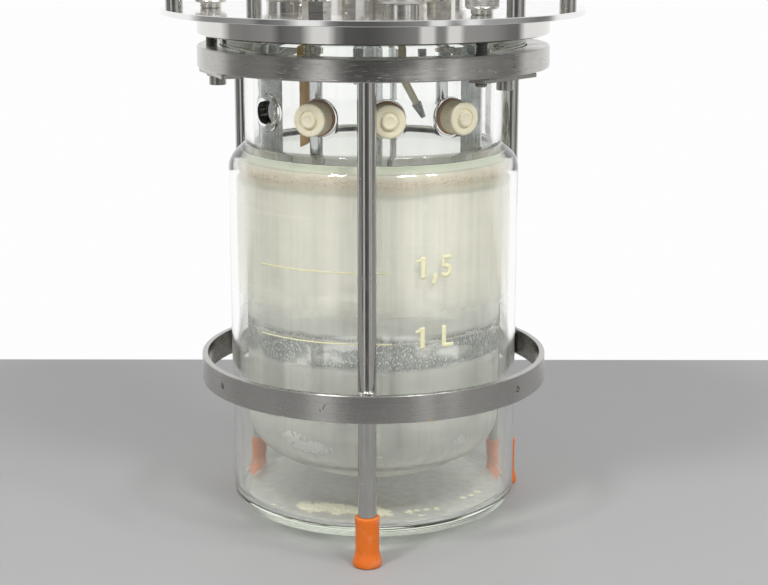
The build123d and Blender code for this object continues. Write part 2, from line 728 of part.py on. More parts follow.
def clamp_nut():
    low = TOP_Z + FACE
    collar = rod(NUT_COLLAR_R, low, low + NUT_COLLAR_H + EDGE)
    body = ends_chamfered(rod(NUT_R, low + NUT_COLLAR_H, NUT_TOP), NUT_EDGE)
    return body + collar - rod(STUD_R + RUN, low - 1, NUT_TOP + 1)


# ---- Lid ports --------------------------------------------------------------------------------------------
def port_body(barbed):
    tail_z = LID_Z - PORT_TAIL
    body = rod(PORT_BODY_R, TOP_Z, TOP_Z + PORT_BODY_H)
    body = chamfer(body.edges().group_by(Axis.Z)[-1], EDGE)
    body += rod(PORT_NECK_R, TOP_Z, TOP_Z + PORT_BODY_H + PORT_NECK_H)
    body += rod(PORT_SHANK_R, tail_z, TOP_Z)
    floor = tail_z + BARB_ROOT if barbed else tail_z - 1
    body -= rod(PORT_BORE_R, floor, TOP_Z + PORT_BODY_H + PORT_NECK_H + 1)
    if barbed:
        body += rod(BARB_R, tail_z - BARB_H, tail_z)
        body -= rod(BARB_BORE_R, tail_z - BARB_H - 1, floor + 1)
    return body


def port_cap():
    low = TOP_Z + PORT_BODY_H + FACE
    roof = TOP_Z + PORT_BODY_H + PORT_NECK_H + CAP_FLOAT
    cap = ends_chamfered(rod(CAP_R, low, roof + CAP_ROOF), CAP_EDGE)
    return cap - rod(PORT_NECK_R + RUN, low - 1, roof)


# ---- Glands -----------------------------------------------------------------------------------------------
def gland_body(tube_r):
    neck_top = TOP_Z + GLAND_HEX_H + GLAND_NECK_H
    body = hexagon(GLAND_FLATS, TOP_Z, TOP_Z + GLAND_HEX_H)
    body += rod(GLAND_NECK_R, TOP_Z, neck_top) + rod(GLAND_SHANK_R, LID_Z - GLAND_TAIL, TOP_Z)
    return body - rod(tube_r + RUN, LID_Z - GLAND_TAIL - 1, neck_top + 1)


def gland_nut(tube_r):
    top = GLAND_NUT_Z + GLAND_NUT_H
    nut = hexagon(GLAND_FLATS, GLAND_NUT_Z, top)
    neck_top = TOP_Z + GLAND_HEX_H + GLAND_NECK_H + FACE
    nut -= rod(GLAND_NECK_R + RUN, GLAND_NUT_Z - 1, neck_top)
    nut -= rod(tube_r + RUN, GLAND_NUT_Z, top + 1)
    return nut & rounded_bar(GLAND_FLATS, GLAND_NUT_Z, top)


def rounded_bar(flats, low, high):
    """Round bar over the corners of a hexagon, chamfered, that takes the corners off a nut's ends."""
    corner_r = flats / sqrt(3)
    return ends_chamfered(rod(corner_r, low, high), EDGE)


def gland_tube(name):
    """Dip tube; the thermowell is closed at its lower end."""
    _, _, tube_r, rise, low = GLANDS[name]
    top = GLAND_NUT_Z + GLAND_NUT_H + rise
    bore_low = low + TUBE_WALL if name == "thermowell" else low - 1
    return rod(tube_r, low, top) - rod(tube_r - TUBE_WALL, bore_low, top + 1)


# ---- Addition nipple and hose stubs -----------------------------------------------------------------------
def addition_nipple():
    body = rod(NIPPLE_COLLAR_R, TOP_Z, TOP_Z + NIPPLE_COLLAR_H)
    body = chamfer(body.edges().group_by(Axis.Z)[-1], EDGE)
    body += rod(NIPPLE_SHANK_R, LID_Z - NIPPLE_LIP, TOP_Z)
    body += rod(NIPPLE_R, LID_Z - NIPPLE_DOWN, TOP_Z + NIPPLE_COLLAR_H + NIPPLE_UP)
    return body - rod(NIPPLE_BORE_R, LID_Z - NIPPLE_DOWN - 1, TOP_Z + NIPPLE_COLLAR_H + NIPPLE_UP + 1)


def amber_hose():
    top = LID_Z - NIPPLE_LIP
    return tube(AMBER_R, NIPPLE_R + RUN, top - AMBER_LENGTH, top)


def cream_route():
    """Path of the cream hose from the barb of the front port: straight down, then swinging outwards."""
    top = LID_Z - PORT_TAIL
    return [
        (0, 0, top),
        (0, 0, top - CREAM_DROP),
        (CREAM_SWING, 0, top - CREAM_DROP - CREAM_FALL),
    ]


def cream_hose():
    top, _, _ = cream_route()
    path = FilletPolyline(*cream_route(), radius=CREAM_BEND)
    outline = Circle(CREAM_R) - Circle(BARB_R + RUN)
    return sweep(Plane(origin=top, z_dir=(0, 0, -1)) * outline, path=path)


def antifoam_nozzle():
    """Small turned nozzle whose plug sits in the hose's lower end."""
    _, bend, end = (Vector(*point) for point in cream_route())
    seat = Plane(origin=end, z_dir=end - bend)
    tip = Cone(NOZZLE_R, NOZZLE_TIP_R, NOZZLE_H, align=(Align.CENTER, Align.CENTER, Align.MIN))
    plug = Pos(0, 0, -NOZZLE_PLUG_H) * rod(BARB_R, 0, NOZZLE_PLUG_H)
    return seat * (tip + plug - rod(BARB_BORE_R, -NOZZLE_PLUG_H - 1, NOZZLE_H + 1))


# ---- Baffles ----------------------------------------------------------------------------------------------
def baffle():
    """Radial strip hung from a stud that is welded to its upper end."""
    low = DISH_TOP + BAFFLE_FOOT
    high = LID_Z - BAFFLE_HEAD
    strip = Pos(0, 0, (low + high) / 2) * Box(BAFFLE_T, BAFFLE_W, high - low)
    strip = fillet(strip.edges().filter_by(Axis.X).group_by(Axis.Z)[0], BAFFLE_ROUND)
    stud = rod(BAFFLE_STUD_R, high - BAFFLE_STUD_DOWN, LID_Z + BAFFLE_STUD_UP)
    return strip + Pos(0, -BAFFLE_STUD_OUT, 0) * stud


def baffle_nut():
    nut = hexagon(BAFFLE_NUT_FLATS, LID_Z - BAFFLE_NUT_H, LID_Z)
    return nut - rod(BAFFLE_STUD_R + RUN, LID_Z - BAFFLE_NUT_H - 1, LID_Z + 1)


# ---- Stirrer drive ----------------------------------------------------------------------------------------
def drive_hub():
    flange = rod(HUB_FLANGE_R, TOP_Z, TOP_Z + HUB_FLANGE_T)
    flange = chamfer(flange.edges().group_by(Axis.Z)[-1], EDGE)
    hub = flange + rod(HUB_R, SPIGOT_Z, HUB_TOP)
    hub -= rod(HUB_LAND_R, SPIGOT_Z - 1, HUB_TOP + 1)
    hub -= rod(BEARING_R + RUN, HUB_TOP - BEARING_W, HUB_TOP + 1)
    hub -= rod(BEARING_R + RUN, SPIGOT_Z - 1, SPIGOT_Z + BEARING_W)
    for radius, bearing in hub_screw_places():
        hub -= swung(rod(HUB_SCREW_R + PASS, TOP_Z - 1, TOP_Z + HUB_FLANGE_T + 1), radius, bearing)
    return hub


def hub_screw():
    grip = HUB_FLANGE_T + DISC_T + HUB_SCREW_GRIP - EDGE
    screw = socket_screw(HUB_SCREW_R, grip, HUB_SCREW_HEAD_R, HUB_SCREW_HEAD_H, HUB_SCREW_HEX)
    return Pos(0, 0, TOP_Z + HUB_FLANGE_T) * screw


def hub_bearings():
    lower = tube(BEARING_R, SHAFT_R + RUN, SPIGOT_Z, SPIGOT_Z + BEARING_W)
    upper = tube(BEARING_R, SHAFT_R + RUN, HUB_TOP - BEARING_W, HUB_TOP)
    return [lower, upper]


def hub_cover():
    cover = tube(HUB_R, SHAFT_R + PASS, HUB_TOP, HUB_TOP + COVER_T)
    return chamfer(cover.edges().group_by(Axis.Z)[-1].sort_by(SortBy.RADIUS)[-1], EDGE)


def shaft_seal():
    return ends_chamfered(tube(SEAL_DISC_R, SHAFT_R + RUN, SPIGOT_Z - SEAL_DISC_H, SPIGOT_Z), EDGE / 2)


def stirrer_shaft():
    low = LOW_IMPELLER_Z - BLADE_H / 2 - SHAFT_TAIL
    high = HUB_TOP + COVER_T + COUPLING_H - COUPLING_SLOT_H - COUPLING_FLOOR
    return ends_chamfered(rod(SHAFT_R, low, high), EDGE)


def impeller(height):
    low = height - BLADE_H / 2
    wheel = rod(IMPELLER_HUB_R, low, low + BLADE_H) + rod(
        IMPELLER_DISC_R, height - BLADE_T / 2, height + BLADE_T / 2
    )
    for index in range(BLADES):
        blade = Pos(0, BLADE_LENGTH / 2 - IMPELLER_R, height) * Box(BLADE_T, BLADE_LENGTH, BLADE_H)
        wheel += Rot(0, 0, 360 / BLADES * index) * blade
    return wheel - rod(SHAFT_R + RUN, low - 1, low + BLADE_H + 1)


def drive_coupling():
    low = HUB_TOP + COVER_T + CAP_FLOAT
    top = HUB_TOP + COVER_T + COUPLING_H
    body = ends_chamfered(rod(COUPLING_R, low, top), EDGE)
    body -= rod(SHAFT_R + RUN, low - 1, top - COUPLING_SLOT_H - COUPLING_FLOOR + EDGE)
    slot = Pos(0, 0, top - COUPLING_SLOT_H / 2) * Box(3 * COUPLING_R, COUPLING_SLOT_W, COUPLING_SLOT_H)
    return body - slot


# ---- Assembly ---------------------------------------------------------------------------------------------
def all_pieces():
    """Every piece by its name; a list is a group of like solids in one node."""
    pieces = {
        "flange_ring": flange_ring(),
        "holding_ring": holding_ring(),
        "vessel_seat": vessel_seat(),
        **glass_pieces(),
        "lid_plate": lid_plate(),
        "top_disc": top_disc(),
        "lid_seal": lid_seal(),
        "drive_hub": drive_hub(),
        "hub_bearings": hub_bearings(),
        "hub_cover": hub_cover(),
        "shaft_seal": shaft_seal(),
        "stirrer_shaft": stirrer_shaft(),
        "upper_impeller": impeller(HIGH_IMPELLER_Z),
        "lower_impeller": impeller(LOW_IMPELLER_Z),
        "drive_coupling": drive_coupling(),
        "addition_nipple": swung(addition_nipple(), NIPPLE_CIRCLE, NIPPLE_BEARING),
        "addition_hose": swung(amber_hose(), NIPPLE_CIRCLE, NIPPLE_BEARING),
    }
    pieces["stud_bars"] = [Rot(0, 0, stud_bearing(i) + BAR_SCREW_TURN) * stud_bar() for i in range(LEGS)]
    pieces["bar_screws"] = [
        swung(bar_screw(), STUD_CIRCLE, stud_bearing(i) + BAR_SCREW_TURN) for i in range(LEGS)
    ]
    pieces["side_ports"] = [side_port(i) for i in range(SIDE_PORTS)]
    pieces["feet"] = [swung(foot(), LEG_CIRCLE, leg_bearing(i)) for i in range(LEGS)]
    pieces["clamp_studs"] = [swung(clamp_stud(), STUD_CIRCLE, stud_bearing(i)) for i in range(LEGS)]
    pieces["plug_washers"] = [on_side_port(plug_washer(), i) for i in range(1, SIDE_PORTS)]
    pieces["hub_screws"] = [swung(hub_screw(), *place) for place in hub_screw_places()]
    pieces["baffle_nuts"] = [
        swung(baffle_nut(), BAFFLE_CIRCLE + BAFFLE_STUD_OUT, baffle_bearing(i)) for i in range(LEGS)
    ]
    pieces["handle_screws"] = [
        swung(handle_screw(), HANDLE_CIRCLE, bearing) for pair in handle_places() for bearing in pair
    ]
    pieces["gland_bodies"] = [
        swung(gland_body(tube_r), circle, bearing) for circle, bearing, tube_r, *_ in GLANDS.values()
    ]
    for index in range(LEGS):
        number = index + 1
        pieces[f"leg_{number}"] = swung(leg(), LEG_CIRCLE, leg_bearing(index))
        pieces[f"clamp_nut_{number}"] = swung(clamp_nut(), STUD_CIRCLE, stud_bearing(index))
        pieces[f"baffle_{number}"] = swung(baffle(), BAFFLE_CIRCLE, baffle_bearing(index))
    for index in range(1, SIDE_PORTS):
        pieces[f"side_plug_{index}"] = on_side_port(side_plug(), index)
    for index, pair in enumerate(handle_places()):
        pieces[f"handle_{index + 1}"] = handle(pair)
    for name, (bearing, barbed) in LID_PORTS.items():
        pieces[f"{name}_port_body"] = swung(port_body(barbed), LID_PORT_CIRCLE, bearing)
        pieces[f"{name}_port_cap"] = swung(port_cap(), LID_PORT_CIRCLE, bearing)
        if barbed:
            pieces["antifoam_hose"] = swung(cream_hose(), LID_PORT_CIRCLE, bearing)
            pieces["antifoam_nozzle"] = swung(antifoam_nozzle(), LID_PORT_CIRCLE, bearing)
    for name, (circle, bearing, tube_r, *_) in GLANDS.items():
        pieces[f"{name}_gland_nut"] = swung(gland_nut(tube_r), circle, bearing)
        pieces[f"{name}_tube"] = swung(gland_tube(name), circle, bearing)
    return pieces


def write(pieces):
    os.makedirs("parts", exist_ok=True)
    for name, piece in pieces.items():
        group = piece if isinstance(piece, list) else [piece]
        solids = [solid for item in group for solid in item.solids()]
        export_step(Compound(children=solids), f"parts/{name}.step")


write(all_pieces())
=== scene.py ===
"""Bench bioreactor: glass, limescale, knurls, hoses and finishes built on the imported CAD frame.

Metres, +Z up. The vessel's axis is the Z axis and its front faces -Y. A bearing is in degrees counter-clockwise
seen from above, counted from the front, so a point at radius r is (r sin b, -r cos b). Shapes are worked out
in millimetres and go into their meshes in metres.
"""

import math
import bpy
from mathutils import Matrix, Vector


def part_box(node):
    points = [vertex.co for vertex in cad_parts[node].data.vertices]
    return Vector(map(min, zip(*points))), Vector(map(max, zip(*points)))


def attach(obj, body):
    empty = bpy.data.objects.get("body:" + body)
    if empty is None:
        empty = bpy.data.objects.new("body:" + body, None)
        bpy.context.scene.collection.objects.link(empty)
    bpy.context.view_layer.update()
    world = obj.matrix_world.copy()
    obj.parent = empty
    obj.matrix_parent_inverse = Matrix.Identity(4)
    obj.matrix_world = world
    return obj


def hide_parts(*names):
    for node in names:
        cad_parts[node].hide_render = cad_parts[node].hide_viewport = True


bl_info = {
    "name": "Bench Bioreactor",
    "version": (1, 0, 0),
    "blender": (4, 5, 0),
    "location": "View3D > Sidebar > Bioreactor",
    "description": "Glass vessel, limescale, fittings and finishes of a bench bioreactor",
    "category": "Add Mesh",
}

import bmesh
import bpy
import numpy as np
from bpy.props import FloatProperty, FloatVectorProperty, IntProperty, PointerProperty
from mathutils import Euler

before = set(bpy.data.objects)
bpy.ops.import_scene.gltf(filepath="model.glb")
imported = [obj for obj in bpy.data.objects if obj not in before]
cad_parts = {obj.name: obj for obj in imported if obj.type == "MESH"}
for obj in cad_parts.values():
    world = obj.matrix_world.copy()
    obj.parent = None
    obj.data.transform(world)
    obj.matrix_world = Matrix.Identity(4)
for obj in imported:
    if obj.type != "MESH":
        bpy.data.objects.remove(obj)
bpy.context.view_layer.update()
MM = 0.001


# ---- Sizes read from the frame, in millimetres ------------------------------------------------------------
def node_box(node):
    """Lowest and highest corner of a CAD node."""
    return tuple(np.array(corner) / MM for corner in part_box(node))


def at_bearing(radius, bearing, height=0.0):
    """Place at a distance from the vessel's axis, on a bearing in degrees and at a height."""
    b = math.radians(bearing)
    return radius * math.sin(b), -radius * math.cos(b), height


FLANGE_R, _, GLASS_TOP = node_box("glass_neck")[1]
_, _, BASE_Z = node_box("glass_jacket")[0]
JACKET_R, NOZZLE_REACH, _ = node_box("glass_jacket")[1]
_, _, DISH_UNDER_Z = node_box("glass_vessel")[0]
VESSEL_R, _, _ = node_box("glass_vessel")[1]
_, _, BAND_TOP = node_box("holding_ring")[1]
BAND_FACE_R = 95.1  # just outside the face of the holding ring

JACKET_WALL, VESSEL_WALL, FLOOR_WALL = 4.0, 4.5, 4.5
JACKET_CORNER = 6.5
BORE_R = VESSEL_R - VESSEL_WALL
JACKET_BORE_R = JACKET_R - JACKET_WALL
FLOOR_Z = BASE_Z + FLOOR_WALL
CROWN_R, KNUCKLE_R = 104.0, 20.0
DISH_Z = DISH_UNDER_Z + VESSEL_WALL
DISH_TOP = DISH_Z + CROWN_R - math.sqrt((CROWN_R - KNUCKLE_R) ** 2 - (BORE_R - KNUCKLE_R) ** 2)
SHOULDER_Z = GLASS_TOP - 67.2  # end of the jacket's straight wall
NECK_FOOT_Z = SHOULDER_Z + 9.4
FLANGE_Z = GLASS_TOP - 10.0  # underside of the flange
FLARE_Z, FLARE_R = FLANGE_Z - 6.0, JACKET_R + 0.2  # where the neck starts to flare, and how far it does
SPACE_TOP_Z = SHOULDER_Z + 7.3  # top of the space between the walls, at the vessel
SPACE_EDGE_Z = SHOULDER_Z - 1.8  # and at the jacket
FLAT_R = 60.0  # flat middle of base and floor
PORT_Z, PORT_BORE_R = GLASS_TOP - 38.0, 6.0
PORT_FACE = VESSEL_R + 0.8
PORT_BEARINGS = (-51.0, -22.6, 5.8, 34.2)
PLUGGED = PORT_BEARINGS[1:]
NOZZLE_BEARING, NOZZLE_R, NOZZLE_BORE_R = 183.5, 5.0, 3.0
NOZZLE_HEIGHTS = (BASE_Z + 27.0, SHOULDER_Z - 19.0)
PORT_PATCH = (10.2, 12.5)  # half a port's patch of glass: degrees round the axis and millimetres up
NOZZLE_PATCH = (5.9, 8.0)


def settings():
    return bpy.context.scene.bioreactor


# ---- Settings ---------------------------------------------------------------------------------------------
def colour(name, description, default):
    return FloatVectorProperty(
        name=name, description=description, subtype="COLOR", size=3, min=0.0, max=1.0, default=default
    )


def share(name, description, default):
    return FloatProperty(
        name=name, description=description, subtype="FACTOR", min=0.0, max=1.0, default=default
    )


def length(name, description, millimetres):
    return FloatProperty(name=name, description=description, unit="LENGTH", default=millimetres * MM)


class GlassSettings(bpy.types.PropertyGroup):
    tint: colour("Tint", "Colour that thick glass takes on along its edges", (0.82, 0.89, 0.73))
    tint_density: FloatProperty(
        name="Tint density", description="How fast the tint builds up, per metre of glass", default=5.0, min=0.0
    )
    waviness: length("Waviness", "Depth of the slow ripples that blown glass has", 0.12)
    facets: FloatProperty(
        name="Facet width", description="Width of one facet round the axis, in degrees", default=1.6, min=0.8
    )


class ScaleSettings(bpy.types.PropertyGroup):
    haze: colour("Haze", "Colour of the dried film in the jacket", (0.91, 0.895, 0.865))
    green: colour("Shoulder scale", "Colour of the thicker film under the shoulder", (0.52, 0.545, 0.455))
    stain: colour("Stain", "Colour of the rusty tide line under the shoulder", (0.60, 0.42, 0.28))
    crust: colour("Crust", "Colour of the loose scale on the jacket floor", (0.92, 0.88, 0.72))
    vessel_cover: share("Vessel haze", "How much of the vessel's wall the film hides", 0.62)
    jacket_cover: share("Jacket haze", "How much of the jacket's wall the film hides", 0.50)
    vessel_edge: length("Vessel haze edge", "Height of the film's lower edge on the vessel", 116.5)
    jacket_edge: length("Jacket haze edge", "Height of the film's lower edge on the jacket", 129.5)


class MarkSettings(bpy.types.PropertyGroup):
    enamel: colour("Enamel", "Colour of the fired scale marks", (0.95, 0.88, 0.58))
    upper: length("Upper mark", "Height of the 1,5 litre line", 153.3)
    lower: length("Lower mark", "Height of the 1 litre line", 116.1)
    line_width: length("Line width", "Width of the two lines", 0.75)
    figure_height: length("Figure height", "Height of the figures", 11.6)
    stroke: length("Stroke", "Width of a figure's strokes", 2.5)


class MetalSettings(bpy.types.PropertyGroup):
    ring: colour("Flange ring", "Scratched stainless steel of the flange ring", (0.46, 0.45, 0.425))
    band: colour("Holding ring", "Satin stainless steel of the holding ring", (0.44, 0.43, 0.41))
    rod: colour("Rods", "Polished stainless steel of legs and handles", (0.50, 0.49, 0.465))
    lid: colour("Lid", "Polished stainless steel of the lid plate", (0.70, 0.69, 0.66))
    mirror: colour("Disc", "Mirror finish of the top disc", (0.84, 0.84, 0.83))
    fitting: colour("Fittings", "Bright turned stainless steel of the fittings", (0.74, 0.72, 0.68))
    cap: colour("Caps", "Satin stainless steel of the screw caps", (0.78, 0.77, 0.74))
    wet: colour("Wetted steel", "Dulled stainless steel inside the vessel", (0.58, 0.60, 0.60))


class PlasticSettings(bpy.types.PropertyGroup):
    foot: colour("Feet", "Silicone of the foot sleeves", (0.80, 0.18, 0.014))
    plug: colour("Plugs", "Moulded plastic of the side plugs", (0.80, 0.755, 0.57))
    washer: colour("Washers", "Silicone behind the side plugs", (0.42, 0.27, 0.19))
    seal: colour("Seals", "Silicone of the lid seal and the seat", (0.62, 0.62, 0.56))
    amber: colour("Amber hose", "Aged silicone of the addition hose", (0.66, 0.40, 0.14))
    cream: colour("Cream hose", "Silicone of the antifoam hose", (0.72, 0.66, 0.47))
    coupling: colour("Coupling", "Black polymer of the drive coupling", (0.022, 0.022, 0.024))
    ribs: IntProperty(name="Plug ribs", description="Ribs round a side plug", default=54, min=12)


class StudioSettings(bpy.types.PropertyGroup):
    floor: colour("Floor", "Colour of the floor", (0.385, 0.385, 0.385))
    key: FloatProperty(name="Key", description="Power of the left softbox, in watts", default=9.0, min=0.0)
    fill: FloatProperty(name="Fill", description="Power of the right softbox, in watts", default=7.0, min=0.0)
    ambient: share("Ambient", "Brightness of the room's even light", 0.62)
    lens: FloatProperty(name="Lens", description="Focal length in millimetres", default=77.33, min=10.0)


class BioreactorSettings(bpy.types.PropertyGroup):
    glass: PointerProperty(type=GlassSettings)
    scale: PointerProperty(type=ScaleSettings)
    marks: PointerProperty(type=MarkSettings)
    metals: PointerProperty(type=MetalSettings)
    plastics: PointerProperty(type=PlasticSettings)
    studio: PointerProperty(type=StudioSettings)


# ---- Profiles and grids, in millimetres -------------------------------------------------------------------
def rounded(points, radii, steps=8):
    """Line through points with an arc of each radius at its corner.

    With a and b the unit directions into and out of a corner, and h half the turn between them, the arc runs
    from corner - a r tan h to corner + b r tan h. It is the quadratic with the corner as its middle point and
    weight w = cos h: p(s) = ((1-s)^2 start + 2 w s (1-s) corner + s^2 end) / ((1-s)^2 + 2 w s (1-s) + s^2).
    """
    points = np.asarray(points, float)
    into = points[1:-1] - points[:-2]
    out = points[2:] - points[1:-1]
    into /= np.linalg.norm(into, axis=1)[:, None]
    out /= np.linalg.norm(out, axis=1)[:, None]
    half = np.arccos(np.clip((into * out).sum(1), -1, 1)) / 2
    reach = (np.asarray(radii, float) * np.tan(half))[:, None]
    s = np.linspace(0, 1, steps)[None, :, None]
    start, end, corner = ((points[1:-1] + d)[:, None, :] for d in (-into * reach, out * reach, 0 * into))
    middle = 2 * np.cos(half)[:, None, None] * s * (1 - s)
    arcs = ((1 - s) ** 2 * start + middle * corner + s**2 * end) / ((1 - s) ** 2 + middle + s**2)
    line = np.concatenate([points[:1], arcs.reshape(-1, 2), points[-1:]])
    return without_repeats(line)


def without_repeats(line, nearest=1e-5):
    """The line without points that sit on the one before."""
    far = np.linalg.norm(np.diff(line, axis=0), axis=1) > nearest
    return line[np.concatenate([[True], far])]


def dish(offset, steps=22):
    """Half section of the dished bottom from the axis to the straight wall, offset outwards.

    The crown is an arc of radius c about (0, z0) and the knuckle an arc of radius k about (q, top); they meet
    at the lean whose sine is q / (c0 - k0).
    """
    lean = math.asin((BORE_R - KNUCKLE_R) / (CROWN_R - KNUCKLE_R))
    crown, knuckle = CROWN_R + offset, KNUCKLE_R + offset
    t = np.linspace(0, lean, steps)
    u = np.linspace(lean, math.pi / 2, steps // 2)
    bottom = np.stack([crown * np.sin(t), DISH_Z + CROWN_R - crown * np.cos(t)], 1)
    bend = np.stack([BORE_R - KNUCKLE_R + knuckle * np.sin(u), DISH_TOP - knuckle * np.cos(u)], 1)
    return without_repeats(np.concatenate([bottom, bend]))


def with_levels(profile, radius, levels):
    """The profile with more heights on its straight wall at a radius."""
    radii, heights = profile.T
    straight = (np.abs(radii[:-1] - radius) < 1e-4) & (np.abs(radii[1:] - radius) < 1e-4)
    low, high = np.minimum(heights[:-1], heights[1:]), np.maximum(heights[:-1], heights[1:])
    spot = int(np.flatnonzero(straight & (low < min(levels)) & (high > max(levels)))[0])
    rising = heights[spot + 1] > heights[spot]
    rows = np.sort(levels) if rising else np.sort(levels)[::-1]
    extra = np.stack([np.full(len(rows), radius), rows], 1)
    return np.concatenate([profile[: spot + 1], extra, profile[spot + 1 :]])


def bearings_round(blocks, step):
    """Bearings once round the axis, in degrees, and the first column of each block.

    A block is (middle, half width, cells): it gets its own even cells, and the gaps are filled with cells of
    about one step.
    """
    order = sorted(range(len(blocks)), key=lambda k: blocks[k][0] % 360)
    bearings, first = [], {}
    for place, k in enumerate(order):
        middle, half, cells = blocks[k]
        start, end = middle % 360 - half, middle % 360 + half
        first[k] = sum(len(part) for part in bearings)
        bearings.append(np.linspace(start, end, cells + 1))
        follower = blocks[order[(place + 1) % len(order)]]
        following = follower[0] % 360 - follower[1] + (360 if place == len(order) - 1 else 0)
        count = max(2, round((following - end) / step))
        bearings.append(np.linspace(end, following, count + 1)[1:-1])
    return np.concatenate(bearings), [first[k] for k in range(len(blocks))]


def revolved(profile, bearings):
    """Grid of points (r_i sin b_j, -r_i cos b_j, z_i)."""
    b = np.radians(bearings)
    radii, heights = np.asarray(profile, float).T
    x, y = np.outer(radii, np.sin(b)), -np.outer(radii, np.cos(b))
    return np.stack([x, y, np.repeat(heights[:, None], len(b), 1)], 2)


def square_to_circle(cells, half_angle, half_height, radius):
    """Rim of a block as (across, up) in millimetres, and the directions of a circle that match it.

    The rim starts at the lower left corner and runs counter-clockwise seen from outside.
    """
    even = np.linspace(-1, 1, cells + 1)[:-1]
    side = np.ones(cells)
    turn = np.concatenate([even, side, -even, -side]) * math.radians(half_angle)
    up = np.concatenate([-side, even, side, -even]) * half_height
    circle = np.radians(-135 + 360 * np.arange(4 * cells) / (4 * cells))
    return np.stack([radius * np.sin(turn), up], 1), np.stack([np.cos(circle), np.sin(circle)], 1)


def fused_tube(block, height, half_height, walls, rings):
    """Patch of glass round a radial tube: outer wall, tube, bore and inner wall, as one grid.

    Row k of rings is (radius, outer, inner, plain): its circle lies at depth
    outer sqrt(R^2 - x^2) + inner sqrt(r^2 - x^2) + plain along the tube's axis, x being the distance across.
    The rows on each wall between the block's square rim and the first circle go evenly from one to the other.
    """
    middle, half_angle, cells = block
    outer_r, inner_r = walls
    rings = np.asarray(rings, float)
    s = np.linspace(0, 1, 6)[:-1, None, None]

    def wall(radius, first_ring):
        square, circle = square_to_circle(cells, half_angle, half_height, radius)
        flat = (1 - s) * square + s * circle * first_ring
        return flat, np.sqrt(radius**2 - flat[..., 0] ** 2)

    _, circle = square_to_circle(cells, half_angle, half_height, outer_r)
    flat = circle[None] * rings[:, :1, None]
    across = flat[..., 0]
    depth = (
        rings[:, 1:2] * np.sqrt(outer_r**2 - across**2)
        + rings[:, 2:3] * np.sqrt(inner_r**2 - across**2)
        + rings[:, 3:4]
    )
    outer_flat, outer_depth = wall(outer_r, rings[0, 0])
    inner_flat, inner_depth = wall(inner_r, rings[-1, 0])
    flat = np.concatenate([outer_flat, flat, inner_flat[::-1]])
    depth = np.concatenate([outer_depth, depth, inner_depth[::-1]])
    b = math.radians(middle)
    x = flat[..., 0] * math.cos(b) + depth * math.sin(b)
    y = flat[..., 0] * math.sin(b) - depth * math.cos(b)
    return np.stack([x, y, height + flat[..., 1]], 2)


def along(path, across, sizes):
    """Tube grid: at path point p_i with normal n_i and binormal m_i, points p_i + s_ij (n_i cos a_j + m_i sin a_j)."""
    path = np.asarray(path, float)
    forward = np.gradient(path, axis=0)
    forward /= np.linalg.norm(forward, axis=1)[:, None]
    side = np.cross(forward, np.asarray(across, float))
    side /= np.linalg.norm(side, axis=1)[:, None]
    other = np.cross(forward, side)
    a = np.linspace(0, 2 * math.pi, sizes.shape[1], endpoint=False)
    ring = side[:, None, :] * np.cos(a)[None, :, None] + other[:, None, :] * np.sin(a)[None, :, None]
    return path[:, None, :] + sizes[..., None] * ring


# ---- Meshes -----------------------------------------------------------------------------------------------
def cells_of(rows, columns, wraps, hidden=()):
    """Corner numbers of a grid's cells, without the blocks in hidden as (row, row, column, column)."""
    across = columns if wraps else columns - 1
    i, j = np.meshgrid(np.arange(rows - 1), np.arange(across), indexing="ij")
    shown = np.ones(i.shape, bool)
    for top, bottom, left, right in hidden:
        shown[top:bottom, left:right] = False
    i, j = i[shown], j[shown]
    after = (j + 1) % columns
    return np.stack([i * columns + j, i * columns + after, (i + 1) * columns + after, (i + 1) * columns + j], 1)


def mesh_of(name, grids, sharp=35.0, closed=False):
    """Mesh from grids of points in millimetres, as (points, wraps) or (points, wraps, hidden blocks)."""
    corners, faces, start = [], [], 0
    for points, wraps, *rest in grids:
        rows, columns = points.shape[:2]
        corners.append(points.reshape(-1, 3) * MM)
        faces.append(cells_of(rows, columns, wraps, rest[0] if rest else ()) + start)
        start += rows * columns
    mesh = bpy.data.meshes.new(name)
    mesh.from_pydata(np.concatenate(corners).tolist(), [], np.concatenate(faces).tolist())
    shell = bmesh.new()
    shell.from_mesh(mesh)
    bmesh.ops.remove_doubles(shell, verts=shell.verts, dist=1e-6)
    bmesh.ops.delete(shell, geom=[v for v in shell.verts if not v.link_faces], context="VERTS")
    gaps = sum(1 for edge in shell.edges if not edge.is_manifold)
    shell.to_mesh(mesh)
    shell.free()
    if closed and gaps:
        raise RuntimeError(f"{name} has {gaps} open edges")
    mesh.shade_smooth()
    mesh.set_sharp_from_angle(angle=math.radians(sharp))
    return mesh


def show(name, mesh, body, finish, replaced=()):
    """Puts a finished mesh in the scene on its body, in place of the CAD nodes that it stands for."""
    mesh.materials.append(finish)
    piece = bpy.data.objects.new(name, mesh)
    bpy.context.scene.collection.objects.link(piece)
    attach(piece, body)
    if replaced:
        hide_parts(*replaced)
    return piece


def finish_nodes(material, *nodes):
    """Gives CAD nodes a finish in every slot."""
    for node in nodes:
        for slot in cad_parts[node].material_slots:
            slot.material = material


def middle_of(node):
    low, high = node_box(node)
    return (low + high) / 2


